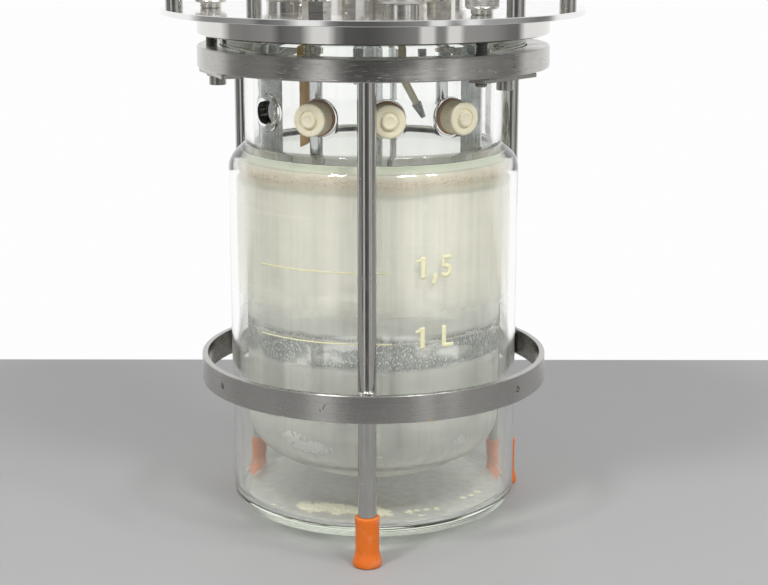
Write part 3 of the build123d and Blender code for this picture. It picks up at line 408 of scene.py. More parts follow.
# ---- Finishes ---------------------------------------------------------------------------------------------
class Finish:
    """One material: a Principled shader with the nodes that feed it.

    A socket given for an input is linked to it, and a plain number or colour is set on the input itself.
    """

    def __init__(self, name, **plain):
        self.material = bpy.data.materials.new(name)
        self.material.use_nodes = True
        self.tree = self.material.node_tree
        self.tree.nodes.clear()
        self.output = self.tree.nodes.new("ShaderNodeOutputMaterial")
        self.shader = self.tree.nodes.new("ShaderNodeBsdfPrincipled")
        self.tree.links.new(self.shader.outputs[0], self.output.inputs["Surface"])
        self.place = self.tree.nodes.new("ShaderNodeTexCoord").outputs["Object"]
        self.set(**plain)

    def feed(self, socket, value):
        if isinstance(value, bpy.types.NodeSocket):
            self.tree.links.new(value, socket)
        elif socket.type == "RGBA" and len(value) == 3:
            socket.default_value = (*value, 1.0)
        else:
            socket.default_value = value

    def set(self, **values):
        for name, value in values.items():
            self.feed(self.shader.inputs[name.replace("_", " ").title().replace("Ior", "IOR")], value)
        return self

    def node(self, kind, values=(), **options):
        made = self.tree.nodes.new(kind)
        for name, value in options.items():
            setattr(made, name, value)
        for socket, value in dict(values).items():
            self.feed(made.inputs[socket], value)
        return made

    def math(self, operation, *values, clamp=False):
        made = self.node("ShaderNodeMath", dict(enumerate(values)), operation=operation, use_clamp=clamp)
        return made.outputs[0]

    def times(self, first, *others, clamp=False):
        """All values multiplied."""
        for other in others:
            first = self.math("MULTIPLY", first, other, clamp=clamp)
        return first

    def plus(self, first, *others):
        """All values added."""
        for other in others:
            first = self.math("ADD", first, other)
        return first

    def most(self, first, *others, clamp=False):
        """The highest of the values."""
        for other in others:
            first = self.math("MAXIMUM", first, other, clamp=clamp)
        return first

    def inverse(self, value):
        """1 where the value is 0, and 0 where it is 1."""
        return self.math("SUBTRACT", 1.0, value)

    def distance(self, vector):
        return self.node("ShaderNodeVectorMath", {0: vector}, operation="LENGTH").outputs["Value"]

    def parts(self):
        """X, Y and Z of the place, in metres."""
        return self.node("ShaderNodeSeparateXYZ", {0: self.place}).outputs

    def around(self):
        """Distance from the axis, in metres."""
        flat = self.node("ShaderNodeVectorMath", {0: self.place, 1: (1, 1, 0)}, operation="MULTIPLY")
        return self.distance(flat.outputs[0])

    def moved(self, location=(0, 0, 0), turn=0.0, stretch=(1, 1, 1)):
        """The place, moved by -location in millimetres, turned back by a bearing and stretched."""
        shifted = self.node(
            "ShaderNodeVectorMath", {0: self.place, 1: tuple(v * MM for v in location)}, operation="SUBTRACT"
        ).outputs[0]
        angles = (0, 0, -math.radians(turn))
        return self.node("ShaderNodeMapping", {0: shifted, 2: angles, 3: stretch}).outputs[0]

    def noise(self, grain, at=None, stretch=(1, 1, 1), detail=3.0, rough=0.55, twist=0.0):
        """Noise with spots about grain millimetres across, wider along an axis with stretch above 1."""
        at = self.place if at is None else at
        scaled = self.node("ShaderNodeMapping", {0: at, 3: tuple(1 / (grain * MM * s) for s in stretch)})
        values = {"Vector": scaled.outputs[0], "Scale": 1.0, "Detail": detail, "Roughness": rough}
        return self.node("ShaderNodeTexNoise", {**values, "Distortion": twist}).outputs[0]

    def lathe_lines(self, pitch, run):
        """Noise that changes within pitch millimetres up and outwards, and within run round the axis."""
        steps = (1 / (run * MM), 1 / (run * MM), 1 / (pitch * MM))
        scaled = self.node("ShaderNodeMapping", {0: self.place, 3: steps})
        out = self.times(self.around(), 1 / (pitch * MM))
        values = {"Vector": scaled.outputs[0], "W": out, "Scale": 1.0, "Detail": 2.0, "Roughness": 0.6}
        return self.node("ShaderNodeTexNoise", values, noise_dimensions="4D").outputs[0]

    def specks(self, size):
        """Distance to the nearest of scattered points about size millimetres apart, 0 at a point."""
        scaled = self.node("ShaderNodeMapping", {0: self.place, 3: (1 / (size * MM),) * 3})
        values = {"Vector": scaled.outputs[0], "Scale": 1.0, "Randomness": 1.0}
        return self.node("ShaderNodeTexVoronoi", values).outputs["Distance"]

    def span(self, value, low, high, to_low=0.0, to_high=1.0, smooth=False):
        """Goes from to_low to to_high as value goes from low to high, and stays inside them."""
        made = self.node(
            "ShaderNodeMapRange",
            {"Value": value, "From Min": low, "From Max": high, "To Min": to_low, "To Max": to_high},
            interpolation_type="SMOOTHSTEP" if smooth else "LINEAR",
        )
        return made.outputs[0]

    def between(self, value, low, high, soft):
        """1 where value is between low and high, with soft edges."""
        rise = self.span(value, low - soft, low + soft, smooth=True)
        fall = self.span(value, high - soft, high + soft, 1.0, 0.0, smooth=True)
        return self.times(rise, fall)

    def mix(self, factor, a, b):
        """Colour a where factor is 0 and colour b where it is 1."""
        return self.node("ShaderNodeMix", {0: factor, 6: a, 7: b}, data_type="RGBA").outputs[2]

    def shader_mix(self, factor, a, b):
        return self.node("ShaderNodeMixShader", {0: factor, 1: a.outputs[0], 2: b.outputs[0]})

    def tone(self):
        """What colours the shader so far."""
        return self.shader.inputs["Base Color"].links[0].from_socket

    def relief(self, height, depth, strength=1.0):
        """Bump of a depth in millimetres, laid over what the shader's normal already has."""
        values = {"Height": height, "Distance": depth * MM, "Strength": strength}
        linked = self.shader.inputs["Normal"].links
        if linked:
            values["Normal"] = linked[0].from_socket
        self.feed(self.shader.inputs["Normal"], self.node("ShaderNodeBump", values).outputs[0])
        return self


def toned(tone, factor):
    return tuple(min(1.0, c * factor) for c in tone)


def steel(name, tone, rough, lines, line_depth, smudge=0.0, contrast=0.12, specks=0.0):
    """Steel whose grain, roughness and relief follow one set of tool lines.

    lines is called with the finish and gives the pattern. Smudges raise the roughness in patches, and specks
    are small pale spots of dried dust.
    """
    finish = Finish(name, metallic=1.0)
    pattern = lines(finish)
    grain = finish.mix(pattern, toned(tone, 1 - contrast), toned(tone, 1 + contrast))
    roughness = finish.span(pattern, 0.3, 0.7, rough[0], rough[1])
    if smudge:
        patches = finish.span(finish.noise(14.0, detail=4.0), 0.45, 0.7, 0.0, smudge, smooth=True)
        roughness = finish.plus(roughness, patches)
        grain = finish.mix(finish.times(patches, 0.6), grain, toned(tone, 0.8))
    if specks:
        dust = finish.span(finish.specks(3.2), 0.05, 0.11, specks, 0.0)
        dust = finish.times(dust, finish.span(finish.noise(9.0), 0.5, 0.62))
        grain = finish.mix(dust, grain, (0.82, 0.80, 0.76))
        roughness = finish.plus(roughness, finish.times(dust, 0.4))
    finish.set(base_color=grain, roughness=roughness)
    finish.relief(pattern, line_depth)
    return finish


def brushed_round(finish, amount):
    """Spreads reflections across the lines of a brushed ring, which run round the axis."""
    round_axis = finish.node("ShaderNodeTangent", direction_type="RADIAL", axis="Z").outputs[0]
    return finish.set(anisotropic=amount, anisotropic_rotation=0.25, tangent=round_axis)


def lathe(pitch, run):
    """Lines turned about the vessel's axis."""
    return lambda finish: finish.lathe_lines(pitch, run)


def drawn(pitch, run):
    """Lines drawn up and down."""
    return lambda finish: finish.noise(pitch, stretch=(1, 1, run / pitch), detail=2.0)


def turned_upright(pitch, run):
    """Lines turned about an upright axis of the piece's own."""
    return lambda finish: finish.noise(pitch, stretch=(run / pitch, run / pitch, 1), detail=2.0)


def silicone(name, tone, rough, deep, grain=0.9):
    """Soft silicone: light goes a little way in, and dust lies in faint cloudy patches."""
    finish = Finish(name, ior=1.41, subsurface_weight=0.35, subsurface_scale=deep * MM)
    finish.shader.inputs["Subsurface Radius"].default_value = (1.0, 0.5, 0.3)
    cloud = finish.noise(6.0, detail=5.0)
    fine = finish.noise(grain, detail=2.0)
    dusty = finish.span(cloud, 0.5, 0.75, 0.0, 0.16, smooth=True)
    finish.set(
        base_color=finish.mix(dusty, finish.mix(fine, toned(tone, 0.93), toned(tone, 1.06)), (0.7, 0.66, 0.6)),
        roughness=finish.span(fine, 0.35, 0.65, rough[0], rough[1]),
    )
    return finish.relief(fine, 0.03)


# ---- Glass ------------------------------------------------------------------------------------------------
def glass_skin():
    """Half section of the outside and the bore, from the middle of the base to the middle of the dish."""
    points = [
        (0, BASE_Z),
        (JACKET_R, BASE_Z),
        (JACKET_R, SHOULDER_Z),
        (VESSEL_R, NECK_FOOT_Z),
        (VESSEL_R, FLARE_Z),
        (FLARE_R, FLANGE_Z),
        (FLANGE_R, FLANGE_Z),
        (FLANGE_R, GLASS_TOP),
        (BORE_R, GLASS_TOP),
        (BORE_R, DISH_TOP),
    ]
    outside = rounded(points, [JACKET_CORNER, 13.0, 2.5, 4.0, 1.5, 1.25, 2.5, 0.6], steps=10)
    base = np.stack([np.linspace(0, FLAT_R, 7)[1:], np.full(6, BASE_Z)], 1)
    return without_repeats(np.concatenate([outside[:1], base, outside[1:], dish(0.0)[::-1]]))


def jacket_space(shrink=0.0):
    """Half section of the space between the walls, from under the dish round to the middle of the floor.

    shrink moves every surface that far into the space, for a film that lies on the glass.
    """
    under = dish(VESSEL_WALL + shrink)
    inner, outer = VESSEL_R + shrink, JACKET_BORE_R - shrink
    points = [
        (inner, DISH_TOP),
        (inner, SPACE_TOP_Z - shrink),
        (outer, SPACE_EDGE_Z - shrink),
        (outer, FLOOR_Z + shrink),
        (0, FLOOR_Z + shrink),
    ]
    rest = rounded(points, [0.8, 9.0, JACKET_CORNER + 0.5], steps=12)
    floor = np.stack([np.linspace(FLAT_R, 0, 7)[:-1], np.full(6, FLOOR_Z + shrink)], 1)
    return without_repeats(np.concatenate([under, rest[:-1], floor, rest[-1:]]))


def side_port_rings():
    """Short thick tube with a rounded lip and three rolled thread turns in its bore."""
    m = np.radians(np.linspace(0, 90, 7))
    lip = np.stack([9.9 - 1.1 * (1 - np.cos(m)), 1 - np.sin(m), 0 * m, PORT_FACE * np.sin(m)], 1)
    s = np.linspace(0.08, 0.92, 16)
    thread = PORT_BORE_R + 0.28 * (0.5 - 0.5 * np.cos(6 * math.pi * s))
    bore = np.stack([thread, 0 * s, s, (PORT_FACE - 0.5) * (1 - s) + 0.4 * s], 1)
    ends = [[(11.3, 1, 0, 0), (10.4, 1, 0, 0.05)], [(6.6, 0, 0, PORT_FACE), (6.1, 0, 0, PORT_FACE - 0.4)]]
    return np.concatenate([ends[0], lip, ends[1], bore, [(6.15, 0, 1, 0.25), (6.7, 0, 1, 0), (8.0, 0, 1, 0)]])


def nozzle_rings():
    """Hose nozzle with a flared root, three olive ridges and a fire-polished end."""
    m = np.radians(np.linspace(0, 90, 6))
    root = np.stack([7.0 - 2.0 * np.sin(m), 1 - m / m[-1], 0 * m, (JACKET_R + 3.5 * (1 - np.cos(m))) * m / m[-1]], 1)
    s = np.linspace(0, 1, 31)[1:]
    ridges = NOZZLE_R - 0.45 * ((3 * s) % 1.0) * (s > 0.1)
    stem = np.stack([ridges, 0 * s, 0 * s, JACKET_R + 4 + (NOZZLE_REACH - JACKET_R - 5.0) * s], 1)
    u = np.radians(np.linspace(0, 180, 9))
    end = np.stack([4.0 + np.cos(u), 0 * u, 0 * u, NOZZLE_REACH - 1.0 + 0.9 * np.sin(u)], 1)
    bore = [(NOZZLE_BORE_R, 0, 0, JACKET_R + 4), (NOZZLE_BORE_R, 0, 1, 0.6), (3.3, 0, 1, 0.1), (4.2, 0, 1, 0)]
    return np.concatenate([root, stem, end, bore])


def clear_glass(name):
    """Blown borosilicate: slow ripples, a faint film of dust and a tint that only thick glass shows."""
    look = settings().glass
    finish = Finish(name, base_color=(0.985, 0.99, 0.98), transmission_weight=1.0, ior=1.473)
    ripple = finish.noise(22.0, stretch=(1, 1, 2.6), detail=1.0)
    dust = finish.span(finish.noise(5.0, stretch=(1, 1, 2.0), detail=6.0), 0.56, 0.8, 0.0, 0.06, smooth=True)
    finish.set(roughness=dust)
    finish.relief(ripple, look.waviness / MM, 0.6)
    tint = finish.node("ShaderNodeVolumeAbsorption", {"Color": look.tint, "Density": look.tint_density})
    finish.feed(finish.output.inputs["Volume"], tint.outputs[0])
    lamps = finish.node("ShaderNodeLightPath").outputs["Is Shadow Ray"]
    through = finish.node("ShaderNodeBsdfTransparent", {"Color": (0.93, 0.95, 0.91)})
    both = finish.shader_mix(lamps, finish.shader, through)
    finish.feed(finish.output.inputs["Surface"], both.outputs[0])
    return finish.material


class BIOREACTOR_OT_glass(bpy.types.Operator):
    """Adds the fused glass: vessel, jacket, neck, flange, side ports and hose nozzles"""

    bl_idname = "bioreactor.glass"
    bl_label = "Glass Vessel"

    def execute(self, context):
        (port_half, port_tall), (nozzle_half, nozzle_tall) = PORT_PATCH, NOZZLE_PATCH
        port_cells, nozzle_cells = 12, 8
        blocks = [(bearing, port_half, port_cells) for bearing in PORT_BEARINGS]
        blocks.append((NOZZLE_BEARING, nozzle_half, nozzle_cells))
        bearings, first = bearings_round(blocks, settings().glass.facets)
        port_rows = PORT_Z + np.linspace(-port_tall, port_tall, port_cells + 1)
        nozzle_rows = [z + np.linspace(-nozzle_tall, nozzle_tall, nozzle_cells + 1) for z in NOZZLE_HEIGHTS]

        skin, space = glass_skin(), jacket_space()
        skin = with_levels(with_levels(skin, VESSEL_R, port_rows), BORE_R, port_rows)
        for rows in nozzle_rows:
            skin = with_levels(skin, JACKET_R, rows)
            space = with_levels(space, JACKET_BORE_R, rows)

        def hole(profile, radius, rows, block):
            """Cells of the wall that a port or a nozzle takes the place of."""
            on = (np.abs(profile[:, 0] - radius) < 1e-4) & np.isin(profile[:, 1], rows)
            top = int(np.flatnonzero(on)[0])
            return top, top + len(rows) - 1, first[block], first[block] + blocks[block][2]

        in_skin = [hole(skin, r, port_rows, k) for k in range(4) for r in (VESSEL_R, BORE_R)]
        in_skin += [hole(skin, JACKET_R, rows, 4) for rows in nozzle_rows]
        in_space = [hole(space, JACKET_BORE_R, rows, 4) for rows in nozzle_rows]
        grids = [(revolved(skin, bearings), True, in_skin), (revolved(space, bearings), True, in_space)]
        for block in blocks[:4]:
            grids.append((fused_tube(block, PORT_Z, port_tall, (VESSEL_R, BORE_R), side_port_rings()), True))
        for height in NOZZLE_HEIGHTS:
            nozzle = fused_tube(blocks[4], height, nozzle_tall, (JACKET_R, JACKET_BORE_R), nozzle_rings())
            grids.append((nozzle, True))
        show(
            "glass_body",
            mesh_of("glass_body", grids, sharp=50.0, closed=True),
            "stand",
            clear_glass("tinted_borosilicate"),
            ("glass_vessel", "glass_neck", "glass_jacket", "side_ports"),
        )
        return {"FINISHED"}


# ---- Limescale --------------------------------------------------------------------------------------------
FILM_GAP = 0.06  # how far the film stands off the glass
# Crystal patches on the dish: bearing, height, half width and half height, and how far they reach.
DISH_PATCHES = ((-28, 56.0, 18, 4.4, 0.62), (-36, 59.0, 15, 6.0, 0.3), (42, 57.0, 12, 5.0, 0.2), (3, 52.5, 5, 2, 0.2))
# Scattered bits of loose scale on the jacket floor: x, y, radius and density.
LOOSE_BITS = (
    (19, -48, 3.4, 0.8), (24, -46, 2.8, 0.7), (29, -45, 2.8, 0.75), (34, -43, 2.8, 0.8), (26, -54, 2.4, 0.7),
    (49.5, -26, 2.4, 0.7), (54, -22, 2.6, 0.75), (58, -17, 2.8, 0.8), (-54, -38, 3.4, 0.6), (-50, -44, 3.2, 0.6),
)


def even_film(finish, z, level, on_vessel):
    """Share of the glass that the even film hides.

    On each wall it starts at an uneven lower edge and thins and thickens in upright streaks and clouds. Fine
    rings run round the vessel, and the film is thickest right at the vessel's edge.
    """
    look = settings().scale
    streaks = finish.span(finish.noise(5.0, stretch=(1, 1, 30), detail=4.0), 0.3, 0.7, 0.86, 1.12)
    clouds = finish.span(finish.noise(34.0, detail=3.0), 0.3, 0.7, 0.85, 1.12)
    rings = finish.span(finish.noise(1.3, stretch=(60, 60, 1), detail=1.0), 0.66, 0.74, 0.0, 0.05, smooth=True)

    above = finish.span(level, look.vessel_edge - 0.6 * MM, look.vessel_edge + 0.6 * MM, smooth=True)
    thinner = finish.span(z, look.vessel_edge, look.vessel_edge + 60 * MM, 0.94, 1.0)
    on_dish = finish.span(z, 56 * MM, 84 * MM, 0.56, 0.38, smooth=True)
    vessel = finish.most(finish.times(above, thinner, look.vessel_cover), on_dish)
    jacket_rise = finish.span(level, look.jacket_edge - 9 * MM, look.jacket_edge + 9 * MM, smooth=True)
    jacket = finish.most(finish.times(jacket_rise, look.jacket_cover), 0.07)
    even = finish.plus(finish.times(on_vessel, vessel), finish.times(finish.inverse(on_vessel), jacket))

    edge = finish.between(level, look.vessel_edge - 0.5 * MM, look.vessel_edge + 0.2 * MM, 0.3 * MM)
    return finish.plus(finish.times(even, streaks, clouds), finish.times(rings, above), finish.times(edge, 0.4))


def crystal_belt_and_shade(finish, level, on_vessel):
    """Belt of crystals on the vessel, under the film's edge: its white grit, and a painted grey shade between them that
    stands for the dark holding ring at the rear and its reflection on the rear glass.
    """
    belt = finish.times(finish.between(level, 100 * MM, 117 * MM, 2 * MM), on_vessel)
    clumps = finish.span(finish.noise(11.0, stretch=(2.4, 2.4, 1), detail=3.0), 0.30, 0.48)
    grit = finish.span(finish.noise(0.7, stretch=(1, 1, 2), detail=4.0, rough=0.75), 0.53, 0.60)
    # The second value is painted shade, in the same patches as the crystals.
    return finish.times(grit, clumps, belt), finish.times(belt, clumps, 0.8)


def dish_crust(finish, on_vessel):
    """White patches on the dish: ovals with ragged edges."""
    crust = finish.span(finish.noise(2.4, detail=5.0, rough=0.7), 0.32, 0.68)
    patches = 0.0
    for bearing, height, wide, tall, reach in DISH_PATCHES:
        near = finish.moved(at_bearing(67.5, bearing, height), bearing, tuple(1 / (v * MM) for v in (wide, 10.0, tall)))
        near = finish.span(finish.distance(near), 0.0, 1.0, 1.0, 0.0)
        patch = finish.span(finish.plus(near, crust), 1.25 - reach, 1.37 - reach, smooth=True)
        patches = finish.most(patches, finish.times(patch, finish.span(near, 0.0, 0.15)))
    return finish.times(patches, on_vessel)


def dried_film(name):
    """Film that hard water left on both walls of the jacket, with its tide lines and its crystals.

    Under the shoulder a rusty band between two thin lines of painted shade marks the last water level, with thicker
    scale above it. There the rear half is nearly bare, and a painted grey shade lies across the crystal belt.
    """
    look = settings().scale
    finish = Finish(name, roughness=0.75, specular_ior_level=0.25)
    _, y, z = finish.parts()
    wobble = finish.span(finish.noise(26.0, stretch=(1, 1, 8), detail=3.0), 0.25, 0.75, -1.6 * MM, 1.6 * MM)
    level = finish.plus(z, wobble)
    on_vessel = finish.math("LESS_THAN", finish.around(), (VESSEL_R + 1.0) * MM)
    cover = even_film(finish, z, level, on_vessel)
    grit, belt_shade = crystal_belt_and_shade(finish, level, on_vessel)
    patches = dish_crust(finish, on_vessel)

    def shoulder(distance):
        """Height at a distance over the end of the jacket's straight wall, in metres."""
        return (SHOULDER_Z + distance) * MM

    tide = finish.between(level, shoulder(-9.2), shoulder(1.4), 1.0 * MM)
    flecks = finish.span(finish.noise(0.8, stretch=(2.0, 2.0, 1), detail=3.0), 0.50, 0.64)
    rust = finish.times(finish.between(level, shoulder(-5.5), shoulder(-1.0), 1.5 * MM), flecks)
    thick = finish.span(z, shoulder(0.9), shoulder(1.5), smooth=True)
    # Painted shade: thin dark lines along the upper and lower edges of the tide band.
    shade_line_above = finish.between(z, shoulder(0.7), shoulder(1.0), 0.3 * MM)
    shade_line_below = finish.between(level, shoulder(-10.0), shoulder(-8.0), 0.8 * MM)
    painted_shade_lines = finish.most(shade_line_above, finish.times(shade_line_below, 0.35))

    rear = finish.span(y, 0.0, 40 * MM)
    bare = finish.times(rear, finish.span(z, shoulder(-18.0), shoulder(-10.0), 0.0, 0.8))
    cover, thick = (finish.times(value, finish.inverse(bare)) for value in (cover, thick))
    tide, painted_shade_lines, rust = (finish.times(value, finish.inverse(rear)) for value in (tide, painted_shade_lines, rust))

    cover = finish.plus(cover, finish.times(tide, 0.22))
    cover = finish.most(cover, finish.times(thick, 0.86), finish.times(rust, 0.44), finish.times(grit, 0.9), belt_shade)
    cover = finish.most(cover, finish.times(patches, 0.95), clamp=True)

    yellower = tuple(c * f for c, f in zip(look.haze, (1.02, 0.99, 0.92)))
    tone = finish.mix(on_vessel, yellower, tuple(look.haze))
    tone = finish.mix(finish.span(finish.noise(18.0, detail=3.0), 0.3, 0.7, 0.0, 0.12), tone, (0.7, 0.7, 0.66))
    tone = finish.mix(finish.times(tide, 0.8), tone, (0.57, 0.53, 0.44))
    tone = finish.mix(thick, tone, look.green)
    tone = finish.mix(rust, tone, look.stain)
    # The painted shade lines, in dark grey.
    tone = finish.mix(finish.times(painted_shade_lines, 0.8), tone, (0.33, 0.35, 0.32))
    # Painted shade on the crystal belt: dark grey for the holding ring at the rear and its reflection.
    tone = finish.mix(finish.times(belt_shade, 1.6, clamp=True), tone, (0.24, 0.25, 0.25))
    tone = finish.mix(finish.most(grit, patches), tone, (0.98, 0.98, 0.96))
    finish.set(base_color=tone)

    lit_through = finish.node("ShaderNodeBsdfTranslucent", {"Color": tone})
    film = finish.shader_mix(0.42, finish.shader, lit_through)
    both = finish.shader_mix(cover, finish.node("ShaderNodeBsdfTransparent"), film)
    finish.feed(finish.output.inputs["Surface"], both.outputs[0])
    return finish.material


def loose_crust(name):
    """Loose flakes and grains of scale, closer together where the bed is denser."""
    finish = Finish(name, roughness=0.85, subsurface_weight=0.2, subsurface_scale=1.0 * MM)
    dense = finish.node("ShaderNodeAttribute", attribute_name="heap").outputs["Fac"]
    flakes = finish.noise(1.3, detail=5.0, rough=0.8, twist=0.5)
    gaps = finish.noise(7.0, detail=3.0)
    heap = finish.plus(dense, finish.times(flakes, 1.8), finish.times(gaps, 1.1))
    cover = finish.span(heap, 1.88, 1.95, smooth=True)
    crust = settings().scale.crust
    tone = finish.mix(finish.noise(1.5, detail=4.0), toned(crust, 0.86), crust)
    rusty = finish.span(finish.noise(4.0), 0.6, 0.72, 0.0, 0.35)
    finish.set(base_color=finish.mix(rusty, tone, (0.72, 0.5, 0.26)), alpha=cover)
    return finish.relief(flakes, 0.5).material


def heap_density(x, y):
    """How dense the loose scale lies on the floor, by place in millimetres.

    A bank across the front is 0.9 exp(-((y + 47.3 + 0.18 x) / 9)^2) between x = -41 and 10, with soft ends, and
    each loose bit adds its own density times exp(-(distance / radius)^2).
    """
    ends = (1 + np.exp(-(x + 41) / 2.0)) * (1 + np.exp((x - 10) / 2.0))
    bank = 0.9 * np.exp(-(((y + 47.3 + 0.18 * x) / 9.0) ** 2)) / ends
    place, radius, density = np.array(LOOSE_BITS)[:, :2], *np.array(LOOSE_BITS)[:, 2:].T
    far = np.hypot(x[..., None] - place[:, 0], y[..., None] - place[:, 1])
    bits = (density * np.exp(-((far / radius) ** 2))).max(-1)
    return np.maximum(bank, bits)


def loose_bed():
    """Grid of the thin bed of loose scale on the jacket floor.

    Its height over the floor is 0.1 + 1.3 density (0.5 + 1.5 ripple), ripple being a mean of 24 sine waves and
    the bracket being kept between 0.05 and 1.2.
    """
    r = np.linspace(34.0, 69.0, 70)[:, None]
    b = np.radians(np.linspace(-66.0, 80.0, 300))[None, :]
    x, y = r * np.sin(b), -r * np.cos(b)
    density = heap_density(x, y)
    random = np.random.default_rng(3)
    waves = random.normal(0, 1.3, (24, 2))
    phases = random.uniform(0, 2 * math.pi, 24)
    ripple = np.sin(waves[:, 0, None, None] * x + waves[:, 1, None, None] * y + phases[:, None, None]).mean(0)
    z = FLOOR_Z + 0.1 + 1.3 * density * (0.5 + 1.5 * ripple).clip(0.05, 1.2)
    return np.stack([x, y, z], 2)[:, ::-1]


class BIOREACTOR_OT_limescale(bpy.types.Operator):
    """Adds the dried film on the jacket's walls and the loose scale on its floor"""

    bl_idname = "bioreactor.limescale"
    bl_label = "Limescale"

    def execute(self, context):
        bearings = np.arange(0, 360, 2.0)
        film = mesh_of("limescale_film", [(revolved(jacket_space(FILM_GAP)[::-1], bearings), True)], sharp=60.0)
        show("limescale_film", film, "stand", dried_film("dried_limescale"))
        bed = mesh_of("loose_scale", [(loose_bed(), False)], sharp=60.0)
        corners = np.zeros(len(bed.vertices) * 3)
        bed.vertices.foreach_get("co", corners)
        x, y, _ = corners.reshape(-1, 3).T / MM
        values = bed.attributes.new("heap", "FLOAT", "POINT")
        values.data.foreach_set("value", heap_density(x, y).astype(np.float32))
        show("loose_scale", bed, "stand", loose_crust("loose_crust"))
        return {"FINISHED"}


# ---- Enamel marks -----------------------------------------------------------------------------------------
def ribbon(path, width):
    """Flat stroke of a width along a path: each point and its two sides at p + n width / 2 and p - n width / 2."""
    path = np.asarray(path, float)
    forward = np.gradient(path, axis=0)
    forward /= np.linalg.norm(forward, axis=1)[:, None]
    normal = np.stack([-forward[:, 1], forward[:, 0]], 1)
    t = np.linspace(0.5, -0.5, 4)[None, :, None]
    return path[:, None, :] + normal[:, None, :] * t * width


def line_points(*corners, count=10):
    """Points evenly between corners."""
    corners = np.asarray(corners, float)
    s = np.linspace(0, len(corners) - 1, count * (len(corners) - 1) + 1)
    return np.stack([np.interp(s, np.arange(len(corners)), corners[:, k]) for k in (0, 1)], 1)


def figure_strokes(figure, h, w):
    """Strokes of one figure, as (path, width), its left edge at 0 and its foot at 0.

    Every place is a share of the figure's height h or of its stroke w. The 1, the L and the comma are straight
    strokes, and a 5 is an arc with two straight strokes over it.
    """
    if figure == "1":
        flag = line_points((0.0, h * 0.80), (w * 0.8, h * 0.83), (w * 1.2, h * 0.96), count=6)
        return [(line_points((w * 1.5, 0), (w * 1.5, h)), w), (flag, w * 0.6)]
    if figure == "L":
        upright = line_points((w * 0.5, 0), (w * 0.5, h))
        return [(upright, w), (line_points((w * 0.5, w * 0.42), (h * 0.60, w * 0.42)), w * 0.84)]
    if figure == ",":
        return [(line_points((w * 0.55, w * 0.95), (w * 0.6, 0), (w * 0.05, -w * 1.1), count=5), w * 0.95)]
    turn = np.radians(np.linspace(132, -156, 40))
    bowl = np.stack([h * 0.29 + h * 0.215 * np.cos(turn), h * 0.315 + h * 0.215 * np.sin(turn)], 1)
    back = line_points((h * 0.13, h * 0.46), (h * 0.175, h * 0.94), count=8)
    top = line_points((h * 0.13, h - w * 0.40), (h * 0.55, h - w * 0.40))
    return [(bowl, w * 0.86), (back, w * 0.72), (top, w * 0.8)]


def on_glass(flat, bearing, foot, lift):
    """Wraps a flat grid round the jacket: x goes round from a bearing, y goes up from a height."""
    radius = JACKET_R + lift
    b = math.radians(bearing) + flat[..., 0] / JACKET_R
    return np.stack([radius * np.sin(b), -radius * np.cos(b), foot + flat[..., 1]], 2)


def fired_enamel(name):
    """Pale yellow enamel, slightly uneven and worn through in pinholes."""
    finish = Finish(name, roughness=0.42, specular_ior_level=0.45)
    tone = settings().marks.enamel
    worn = finish.noise(0.8, detail=4.0, rough=0.7)
    finish.set(
        base_color=finish.mix(finish.noise(3.0, detail=3.0), toned(tone, 0.86), toned(tone, 1.12)),
        alpha=finish.span(worn, 0.28, 0.38, 0.45, 0.98),
    )
    return finish.relief(worn, 0.02).material


class BIOREACTOR_OT_marks(bpy.types.Operator):
    """Adds the two enamelled level lines and their figures on the jacket"""

    bl_idname = "bioreactor.marks"
    bl_label = "Enamel Marks"

    def execute(self, context):
        look = settings().marks
        enamel = fired_enamel("fired_enamel")
        h, w = look.figure_height / MM, look.stroke / MM
        line_start, line_sweep = -47.4, 54.6
        enamel_mm, overlap = 0.05, 0.012
        line = line_points((0, 0), (np.radians(line_sweep) * JACKET_R, 0), count=90)
        labels = (
            ("level_mark_upper", look.upper / MM, -3.9, (("1", 16.4), (",", 22.9), ("5", 25.9))),
            ("level_mark_lower", look.lower / MM, -3.5, (("1", 16.2), ("L", 26.9))),
        )
        for name, height, drop, figures in labels:
            grids = [(on_glass(ribbon(line, look.line_width / MM), line_start, height, enamel_mm), False)]
            for figure, bearing in figures:
                for order, (path, width) in enumerate(figure_strokes(figure, h, w)):
                    lift = enamel_mm + overlap * order
                    grids.append((on_glass(ribbon(path, width), bearing, height + drop, lift), False))
            mesh = mesh_of(name, grids, sharp=60.0)
            piece = show(name, mesh, "stand", enamel)
            thick = piece.modifiers.new("enamel", "SOLIDIFY")
            thick.thickness, thick.offset = enamel_mm * MM, 1.0
        return {"FINISHED"}


